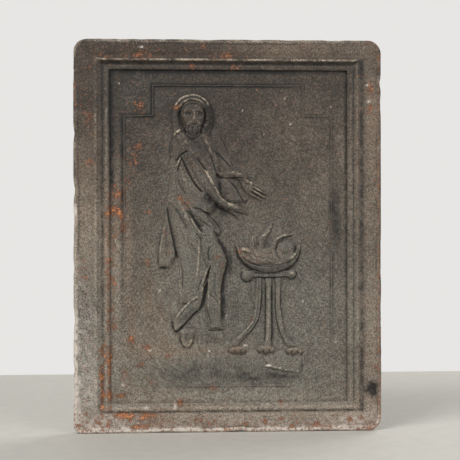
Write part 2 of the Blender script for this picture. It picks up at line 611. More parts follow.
# The roll on the sides in their order: rise and width of the roll, then place inwards from the crest,
# width and amount of its dirt and of its rub
ROLLS = np.array(((0.45, 2.6, -2.4, 1.1, 0.9, 1.8, 1.6, 0.15), (0.5, 2.0, -3.4, 3.0, 0.85, 0.9, 0.8, 0.25),
                  (1.27, 1.9, 3.0, 2.3, 0.75, -0.4, 0.9, 1.2), (0.9, 2.2, 4.4, 1.4, 0.75, -2.3, 1.1, 0.4)))
# Thin lines along the border: side, place inwards from the crest, width, rise, dirt, rub
BORDER_LINES = (
    (0, 3.2, 0.8, -0.1, 0.3, 0.0), (1, 4.5, 0.8, -0.25, 0.8, 0.0), (0, -5.0, 1.2, 0.0, 0.0, 0.3),
    (1, 7.4, 1.2, 0.0, 0.0, 0.12), (2, -2.6, 0.7, -0.2, 0.45, 0.0), (2, 5.8, 0.7, 0.1, 0.0, 0.1),
    (3, 0.1, 0.7, -0.15, 0.35, 0.0), (3, 1.9, 0.6, 0.05, 0.0, 0.1), (3, 8.2, 1.3, 0.1, 0.0, 0.4),
    (3, 11.2, 0.7, -0.1, 0.45, 0.0),
)
# How far from a mitre one side's section passes into the next one's
MITRE_BLEND = 1.5
# Where the band's level eases down to the ledge's, inwards from the crest
LEVEL_FALL = (-1, 5)
# Cove outside the roll and hollow inside it: place inwards from the crest and width; and their depth as a
# share of the roll's rise
COVES = ((-4.6, 2.2), (4.4, 1.6))
COVE_DEPTH = 0.35
# Faint line inside the rim: place inwards from the edge, width, depth and dirt; and the rub of the edge
# with how far it reaches
RIM_LINE = (4.8, 0.8, 0.25, 0.55)
RIM_RUB = (0.7, 2.4)
# Rises of a band's last three points: the foot of its outer wall, and its flat back
BAND_FOOT = (0.3, 0, 0)
# How deep a moulding's back is bedded, width of the ledge's eased edge, and shade on the upper left ledge
# with how far it reaches
MOULDING_BED = -0.35
EASED_EDGE = 1.1
LEDGE_SHADE = (0.75, 1.8)
# How far the dirt at the ledge's foot reaches on the sides in their order
FOOT_WIDTHS = np.array((2.7, 2.7, 3.6, 4.0))
# Rows of the ledge's eased edge: distance from the ledge's own edge, drop and dirt
LEDGE_EDGE = np.array(((0.75, 0.1, 0.15), (0.4, 0.4, 0.4), (0.15, 1.0, 0.8), (0.0, 1.8, 1.0)))


def bell(values):
    """Bell curve of height 1 and width 1."""
    return np.exp(-values ** 2)


def gaps_from(lines, x, z):
    """Distances inwards from four lines on the sides in their order."""
    bottom, right, top, left = lines
    return np.stack((z - bottom, right - x, top - z, x - left))


def border_section(x, z):
    """Rise, dirt and rub of the border at places x, z, from the distance inwards from the crest's
    rectangle: the band's level eases down to the ledge's, and a bell-shaped roll stands on it with a
    shallow cove outside and a hollow inside."""
    gaps = gaps_from(CREST_AT, x, z)
    across = gaps.min(axis=0)
    nearness = np.exp((across - gaps) / MITRE_BLEND)
    nearness = nearness / nearness.sum(axis=0)
    rolls = np.tensordot(nearness, ROLLS, axes=(0, 0))
    roll, breadth, dirt_at, dirt_width, dirt, rub_at, rub_width, rub = np.moveaxis(rolls, -1, 0)
    level = BAND_RISE + (LEDGE_RISE - BAND_RISE) * between(across, *LEVEL_FALL)
    coves = sum(bell((across - place) / width) for place, width in COVES)
    rise = level + roll * bell(across / breadth) - COVE_DEPTH * roll * coves
    rise = rise + 1.3 * field_waves(x, z) + 0.13 * noise(x, z, "border lumps")
    dirt = dirt * bell((across - dirt_at) / dirt_width)
    rub = rub * bell((across - rub_at) / rub_width)
    for side, place, width, line_rise, line_dirt, line_rub in BORDER_LINES:
        mark = nearness[side] * bell((across - place) / width)
        rise = rise + line_rise * mark
        dirt = np.maximum(dirt, line_dirt * mark)
        rub = np.maximum(rub, line_rub * mark)
    upper_left = 0.75 * nearness[SIDES.index("left")] * between(z, 305, 345)
    rubbed = np.clip(0.6 + 0.6 * noise(x, z, "border rub") + 0.5 * noise(x, z, "border grain"), 0, 1)
    caked = np.clip(0.9 + 0.5 * noise(x, z, "border dirt"), 0, 1.2)
    return rise, dirt * caked, rub * (1 - upper_left) * rubbed


def band_mesh(side):
    """Band: a closed profile carried along a side. Across, it goes from the moulding's line to the worn
    outline, with a faint line inside the rim and a rounded arris."""
    intervals = side_intervals(side)
    outer = side_outline(side, intervals)
    inner = rectangle_side(side, BEAD_LINES, intervals)
    width = np.linalg.norm(outer - inner, axis=1)[:, None]
    turns = np.linspace(math.pi / 2, 0, ARRIS_ROWS)[1:]
    share = np.concatenate((np.linspace(0, 1, BAND_ROWS), np.ones(len(turns) + 2), [0]))
    inset = np.concatenate((ARRIS * np.linspace(0, 1, BAND_ROWS), ARRIS * (1 - np.cos(turns)), np.zeros(3)))
    drop = np.concatenate((np.zeros(BAND_ROWS), ARRIS * (1 - np.sin(turns)), np.zeros(3)))
    place = share[None, :] - inset[None, :] / width
    flat = inner[:, None, :] * (1 - place[..., None]) + outer[:, None, :] * place[..., None]
    x, z = flat[..., 0], flat[..., 1]
    rise, dirt, rub = border_section(x, z)
    to_edge = width * (1 - place)
    line_at, line_width, line_depth, line_dirt = RIM_LINE
    line = bell((to_edge - line_at) / line_width) * np.clip(0.5 + noise(x, z, "rim line"), 0, 1)
    h = rise - drop[None, :] - line_depth * line
    h[:, -3:] = BAND_FOOT
    rubbed, reach = RIM_RUB
    rub = rub + rubbed * bell(to_edge / reach) * np.clip(0.35 + noise(x, z, "rim rub"), 0, 1)
    return flat, h, dirt + line_dirt * line, rub


def moulding_mesh(side):
    """Moulding: rows from the bead's rectangle to the ledge's, which meet the next side's in mitres, with
    the border's section; the ledge's edge is eased and drops to the field. The upper left ledge is
    shaded."""
    intervals = side_intervals(side)
    share = np.concatenate((np.linspace(0, 1 - EASED_EDGE / MOULDING_WIDTH, MOULDING_ROWS),
                            1 - LEDGE_EDGE[:, 0] / MOULDING_WIDTH, [1, 0]))
    drop, foot = (np.concatenate((np.zeros(MOULDING_ROWS), LEDGE_EDGE[:, k], [last, 0]))
                  for k, last in ((1, 0), (2, 1)))
    outer, inner = (rectangle_side(side, lines, intervals)[:, None, :] for lines in (BEAD_LINES, LEDGE_AT))
    flat = outer * (1 - share[None, :, None]) + inner * share[None, :, None]
    x, z = flat[..., 0], flat[..., 1]
    h, dirt, rub = border_section(x, z)
    h = h - drop[None, :]
    h[:, -2:] = MOULDING_BED
    dark, reach = LEDGE_SHADE
    to_edge = (1 - share[None, :]) * MOULDING_WIDTH
    shade = dark * bell((to_edge / reach) ** 2) * between(z, 265, 310) * (side == "left")
    return flat, h, np.maximum(dirt, shade) + foot[None, :] * step_dirt(x, z), rub * (1 - shade)


def step_dirt(x, z):
    """How black the foot of the ledge is: full along the top and the upper left, thin to the right and
    low down."""
    bottom = np.full_like(x, 0.35)
    right = 0.3 + 0.45 * between(z, 60, 200)
    top = 0.6 + 0.5 * between(-x, -110, -10)
    left = 0.15 + 0.85 * between(z, 195, 275)
    side = gaps_from(LEDGE_AT, x, z).argmin(axis=0)
    amount = np.take_along_axis(np.stack((bottom, right, top, left)), side[None], axis=0)[0]
    return amount * (0.85 + 0.45 * noise(x, z, "step dirt"))


# Where the panel line is worn away: x, z, half width, half height, amount
PANEL_WEAR = (
    (100, 230, 55, 200, 0.7), (-87, 62, 34, 30, 1.25), (87, 62, 34, 30, 0.85), (0, 46, 70, 10, 0.55),
    (-101, 150, 14, 110, 0.7),
)
# Section of the panel line from its inner foot over the top, and back under it: place across, and rise
PANEL_SECTION = np.array((
    (-1.35, -0.3), (-1.1, 0.1), (-0.8, 0.5), (-0.4, 0.72), (0, PANEL_RISE - 0.02), (0.4, 0.72), (0.8, 0.5),
    (1.1, 0.1), (1.35, -0.3), (1.35, -0.6), (-1.35, -0.6),
))
# What rises above this is the top of the line
PANEL_TOP = 0.6
# Steps along each edge of the line, how far its dirt reaches, and where its left side begins and is full
PANEL_STEPS = 90
PANEL_DIRT = 2.6
PANEL_LEFT = (60, 95)


def panel_kept(x, z):
    """How much of the panel line is left at places x, z."""
    return np.clip(1.05 - spots(x, z, PANEL_WEAR) + 0.3 * noise(x, z, "line wear"), 0.05, 1)


def eared_loop(grow, per_edge):
    """Loop of the panel line moved outwards by grow: a rectangle with a square notch at each corner."""
    wide = PANEL_HIGH[0] - LINE_WIDTH / 2 + grow
    neck = wide - EAR_WIDTH
    low = PANEL_LOW[2] + LINE_WIDTH / 2 - grow
    ear = low + EAR_HEIGHT
    right = ((neck, low), (neck, ear), (wide, ear))
    half = right + tuple((x, HEIGHT - z) for x, z in reversed(right))
    ring = np.array(half + tuple((-x, z) for x, z in reversed(half)))
    share = np.linspace(0, 1, per_edge, endpoint=False)[None, :, None]
    return (ring[:, None, :] * (1 - share) + np.roll(ring, -1, axis=0)[:, None, :] * share).reshape(-1, 2)


def panel_line_mesh():
    """Panel line: a low rounded section carried round the eared loop, fading to the right where it is
    worn, with a soft waver across. Its left side is cleaner inside."""
    across, rise = PANEL_SECTION.T
    flat = np.stack([eared_loop(grow, PANEL_STEPS) for grow in across], axis=1)
    waver = 0.22 * noise(flat[..., 0], flat[..., 1], "line waver")
    flat = flat + waver[..., None]
    x, z = flat[..., 0], flat[..., 1]
    kept = panel_kept(x, z)
    h = np.where(rise > 0, rise * kept, rise) + 0.05 * noise(x, z, "line lumps")
    top = rise > PANEL_TOP
    inner_left = (across < 0) * between(-x, *PANEL_LEFT)
    hollow = np.where(top, 0.6, 1.0) * kept * (1 - 0.7 * inner_left)
    return flat, h, hollow, np.where(top, 0.15, 0.0) * kept


def panel_dirt(x, z):
    """Dirt on the field beside the panel line: a flat-topped bell over the distance to the eared loop's
    edges, moved outwards by a millimetre on the left."""
    x = x + between(-x, *PANEL_LEFT)
    ring = eared_loop(0, 1)
    nearest = np.full(x.shape, np.inf)
    for (from_x, from_z), (to_x, to_z) in zip(ring, np.roll(ring, -1, axis=0)):
        outside_x = np.maximum(np.maximum(min(from_x, to_x) - x, x - max(from_x, to_x)), 0)
        outside_z = np.maximum(np.maximum(min(from_z, to_z) - z, z - max(from_z, to_z)), 0)
        nearest = np.minimum(nearest, np.hypot(outside_x, outside_z))
    return panel_kept(x, z) * np.exp(-(nearest / PANEL_DIRT) ** 4)


def lay_profile(node, flat, h, hollow, crown, closed=False):
    """Piece from a profile's points along a path, their rise and their wear."""
    x, z = flat[..., 0], flat[..., 1]
    points = np.stack((x, FIELD_Y - h, z), axis=-1).reshape(-1, 3)
    faces = outward(points, tube_faces(flat.shape[0], flat.shape[1], closed))
    hollow, crown = (np.broadcast_to(values, x.shape) for values in (hollow, crown))
    new_piece(node, points, faces, weathering(x, z, hollow, crown))


# Relief, raised on one sheet of heights
# A form is its kind and its numbers:
#   limb   rows of (x, z, half width, rise) along a path
#   mass   width of the left and of the right shoulder, and rows of (left, right, z, rise) from end to end
#   leaf   rise, width of the shoulder and points of a closed outline
#   dome   x, z, half width, half height, rise

FIGURE = {
    "beard": (
        ("leaf", 5.5, 5.5, ((-43.5, 301), (-39, 304), (-33.5, 304.6), (-28, 304), (-24, 301),
                            (-24.8, 294.5), (-28.5, 288.5), (-34.2, 284.6), (-39.8, 288), (-43.2, 294.5))),
    ),
    "head": (
        ("mass", 7, 7, ((-41, -28, 324.3, 3.2), (-45.5, -23, 319.8, 4.6), (-47, -21.5, 310.8, 5.4),
                        (-45.5, -22.5, 301.8, 5.3), (-42, -26, 294.8, 4.6))),
    ),
    "hood": (
        ("limb", ((-49, 289, 4.5, 2.6), (-51.4, 301, 3.6, 2.4), (-51.4, 310.5, 3.8, 3.2),
                  (-47, 319.4, 4.8, 4.6), (-37.8, 324.2, 4.7, 5), (-28.2, 322.9, 4.7, 5),
                  (-21.2, 316.4, 4.9, 4.7),
                  (-18.9, 306, 5.2, 4), (-20.8, 297, 5.8, 3.6), (-23, 290, 5.8, 3.4))),
    ),
    "near_arm": (
        ("limb", ((-46.5, 285, 6, 4.4), (-42.5, 274.6, 7.2, 5.2), (-35.4, 262.5, 6.8, 5.9),
                  (-26.3, 246.8, 7.2, 6.3), (-20.8, 238.6, 6.9, 6.3), (-15.4, 230.5, 6.2, 6.2),
                  (-9.6, 224.2, 5.2, 5.8), (-2.7, 220, 4.5, 5.2), (1.5, 218.8, 4.2, 4.8))),
    ),
    "near_hand": (
        ("limb", ((0, 219.2, 4.4, 4.4), (6, 217.8, 4.2, 3.6), (12, 216.2, 3.2, 2.6),
                  (18, 213.4, 1.6, 1.4))),
        ("limb", ((2, 215, 3, 2.4), (7, 211.6, 2.2, 1.7), (11, 207.6, 1.1, 1))),
    ),
    "far_hand": (
        ("leaf", 2.3, 2.2, ((11, 250.6), (17, 248), (23, 243.6), (26, 240), (24.6, 234.6), (20, 231.6),
                            (16.6, 233.6), (13.4, 238.6), (11.2, 243.6))),
        ("limb", ((20, 243.4, 2, 2.3), (27, 239.6, 1.6, 2), (34.4, 235, 0.9, 1.2))),
        ("limb", ((21, 240, 2, 2.3), (28, 236.2, 1.6, 2), (36.4, 231.6, 0.9, 1.2))),
        ("limb", ((21, 236.6, 2, 2.2), (28, 232.6, 1.6, 1.9), (35.4, 228.2, 0.9, 1.2))),
        ("limb", ((19, 233.4, 1.9, 2), (26, 229.2, 1.5, 1.8), (32.4, 225.4, 0.8, 1.1))),
    ),
    "far_forearm": (
        ("limb", ((-8, 250.8, 3.2, 2.6), (4, 251, 4.2, 3.2), (15, 247.8, 4.4, 3.4))),
    ),
    "far_arm": (
        ("limb", ((-13, 290, 5, 1.8), (-9.6, 279, 7, 2.5), (-5, 267, 7.6, 2.7), (-3, 257, 7.2, 2.7),
                  (-2, 250, 6, 2.4))),
    ),
    "sleeve_drape": (
        ("leaf", 1.5, 3.4, ((-9, 246), (-1, 246.8), (6.2, 240.4), (11.6, 233.8), (15, 227), (13, 223.6),
                            (6, 223.4), (-1, 225.4), (-5.4, 229.6), (-8, 236))),
    ),
    "torso": (
        ("mass", 10, 8, ((-50, -21, 292.4, 3.4), (-54.5, -13, 281, 4.2), (-56, -8, 265, 4.5),
                         (-57, -8, 250, 4.5), (-59, -8, 235, 4.4), (-60.5, -9, 222, 4.2),
                         (-57, -16, 212.8, 3.8))),
    ),
    "upper_swag": (
        ("limb", ((-41, 222.4, 3.2, 4.6), (-32.4, 214, 5.6, 5), (-24.4, 206.6, 7, 5.3),
                  (-15.4, 200, 5.6, 5), (-10.8, 195, 3.4, 4.2))),
    ),
    "lower_swag": (
        ("limb", ((-55.4, 224.6, 4, 4.2), (-46.6, 214.2, 6.6, 4.7), (-38.6, 203.4, 7, 4.9),
                  (-30.4, 194.2, 5, 5), (-22, 189.4, 3.4, 5))),
    ),
    "front_skirt": (
        ("mass", 8, 5, ((-27, -14.5, 204, 4.6), (-29, -11, 190, 5.6), (-29, -5.4, 178, 6.1),
                        (-26, -1.2, 166, 6.1), (-20.4, -4.4, 153, 5.6), (-22.2, -7, 139, 5),
                        (-23, -6.8, 127, 4.6), (-20.8, -6.8, 112, 4.3), (-19.6, -4.8, 99.6, 4.1))),
    ),
    "rear_skirt": (
        ("mass", 6, 6, ((-59, -42, 221, 4), (-57.4, -33, 205, 4.4), (-54, -26, 190, 4.5),
                        (-50.6, -23, 175, 4.3), (-47.6, -18.4, 161, 4.1), (-46.8, -20, 148, 3.8),
                        (-47.6, -23, 134, 3.3), (-47, -30, 125, 2.5))),
    ),
    "trailing_hem": (
        ("leaf", 2.9, 2.4, ((-25, 135), (-29, 133.2), (-37.5, 128.2), (-46.7, 119), (-53.4, 109.4),
                            (-54, 104), (-51.2, 97.2), (-43, 104.2), (-35.6, 112.4), (-28.2, 120),
                            (-24.2, 128))),
    ),
    "mantle_tail": (
        ("mass", 4, 4, ((-61.5, -55, 225, 1.8), (-62.4, -54, 205, 2.4), (-65.4, -51, 189, 2.8),
                        (-67.4, -50, 175, 2.8), (-67.8, -57, 159.6, 2.6))),
    ),
    "trailing_foot": (
        ("leaf", 2.8, 4.2, ((-46.7, 100), (-46.9, 93), (-45.6, 87), (-42.6, 82.4), (-39.4, 82),
                            (-36.6, 85.4), (-34.2, 91.4), (-33.4, 100))),
    ),
    "standing_foot": (
        ("limb", ((-13, 102.8, 6, 1.9), (-11.5, 94.6, 5.4, 1.6), (-6.4, 88, 3, 0.9))),
    ),
}

BRAZIER = {
    "bowl": (
        ("leaf", 3.5, 1.6, ((7.4, 182), (9.4, 173), (14.4, 165.4), (21.4, 159.6), (29.6, 156),
                            (38.6, 154.4), (48, 155.2), (57, 158.6), (64.2, 164), (68.8, 171.6),
                            (70.4, 181.6), (67.2, 180.4),
                            (64.6, 174), (59.6, 168.8), (52, 165), (43, 163), (34, 163), (26, 165.2),
                            (18.6, 169.6), (13, 175), (10.2, 181))),
    ),
    "round_log": (("dome", 55.6, 176.8, 9.2, 9.4, 4.1),),
    "left_log": (
        ("limb", ((11.4, 177.2, 2.8, 3.4), (16.6, 176.6, 4, 4.5), (21.6, 174.8, 3.4, 4.2),
                  (27.4, 172, 2.6, 3.6))),
    ),
    "tall_flame": (
        ("limb", ((32, 174.8, 4.5, 3), (32.6, 186, 4, 2.8), (37.4, 194.4, 2.8, 2.6), (43, 203, 0.9, 1.1))),
    ),
    "short_flame": (("limb", ((23, 176.8, 4, 2.5), (25.2, 184.8, 2.6, 2), (26.2, 190.3, 0.9, 1))),),
    "curled_flame": (
        ("limb", ((43, 175.8, 4, 3), (45.8, 184.4, 3.2, 2.8), (52, 189.6, 2.4, 2.3),
                  (62, 192.2, 0.9, 1.1))),
    ),
    "ember_bed": (
        ("mass", 5, 5, ((24, 54, 161.3, 3.9), (13, 64, 168, 4.1), (11, 66, 174, 3.4),
                        (18, 60, 179.6, 2.2))),
    ),
    "left_volute": (("dome", 18, 151.8, 5.8, 5.8, 2.5),),
    "right_volute": (("dome", 61.6, 153.6, 5.2, 5.2, 2.7),),
    "collar": (
        ("leaf", 2.1, 1.3, ((20, 150.4), (38, 150.2), (58, 151), (61, 154), (57, 157.4), (48, 157.4),
                            (38, 156.6), (28, 157.6), (20, 157), (17.6, 153.6))),
    ),
    "left_leg": (
        ("mass", 1.3, 1.3, ((26.8, 32.6, 151.4, 2), (26.6, 32.4, 130, 1.9), (24.7, 30.6, 113.6, 1.8),
                            (21.2, 27.6, 105.6, 1.8), (14.8, 22.6, 98.4, 1.8), (8.4, 16.6, 92.4, 1.8),
                            (3, 11, 87, 1.9), (1, 8.6, 82, 2))),
    ),
    "centre_leg": (
        ("mass", 1.4, 1.4, ((36, 42.4, 151.4, 2.3), (36, 42.3, 120, 2.2), (35.7, 42.2, 97, 2.2),
                            (34.4, 41.4, 81, 2.3))),
    ),
    "right_leg": (
        ("mass", 1.3, 1.3, ((45.7, 51.6, 151.4, 2), (45.4, 51, 126, 1.9), (46, 52.6, 113.6, 1.8),
                            (48, 54.4, 103, 1.8), (50.4, 57, 95.2, 1.8), (53.4, 61.2, 89.4, 1.8),
                            (58, 67, 82, 2))),
    ),
    "left_paw": (("dome", 9, 79.6, 8.4, 4, 3.2),),
    "centre_paw": (("dome", 36.8, 79.8, 8.4, 4.4, 3.4),),
    "right_paw": (("dome", 64.6, 78.2, 8.4, 3.8, 3.2),),
}

GROUND = {
    "rock_ledge": (
        ("mass", 9, 3, ((30, 62, 49, 0.4), (14, 69, 56.8, 1.2), (4, 71.5, 64.8, 1.9), (2, 72, 71.8, 1.8),
                        (6, 69, 77.8, 0.9))),
    ),
    "ground_bank": (
        ("mass", 14, 12, ((-58, 16, 46.6, 0.3), (-64, 22, 55.8, 0.7), (-62, 20, 65.8, 1.0),
                          (-54, 8, 75.8, 0.9), (-47, -1, 84.8, 0.4))),
    ),
}

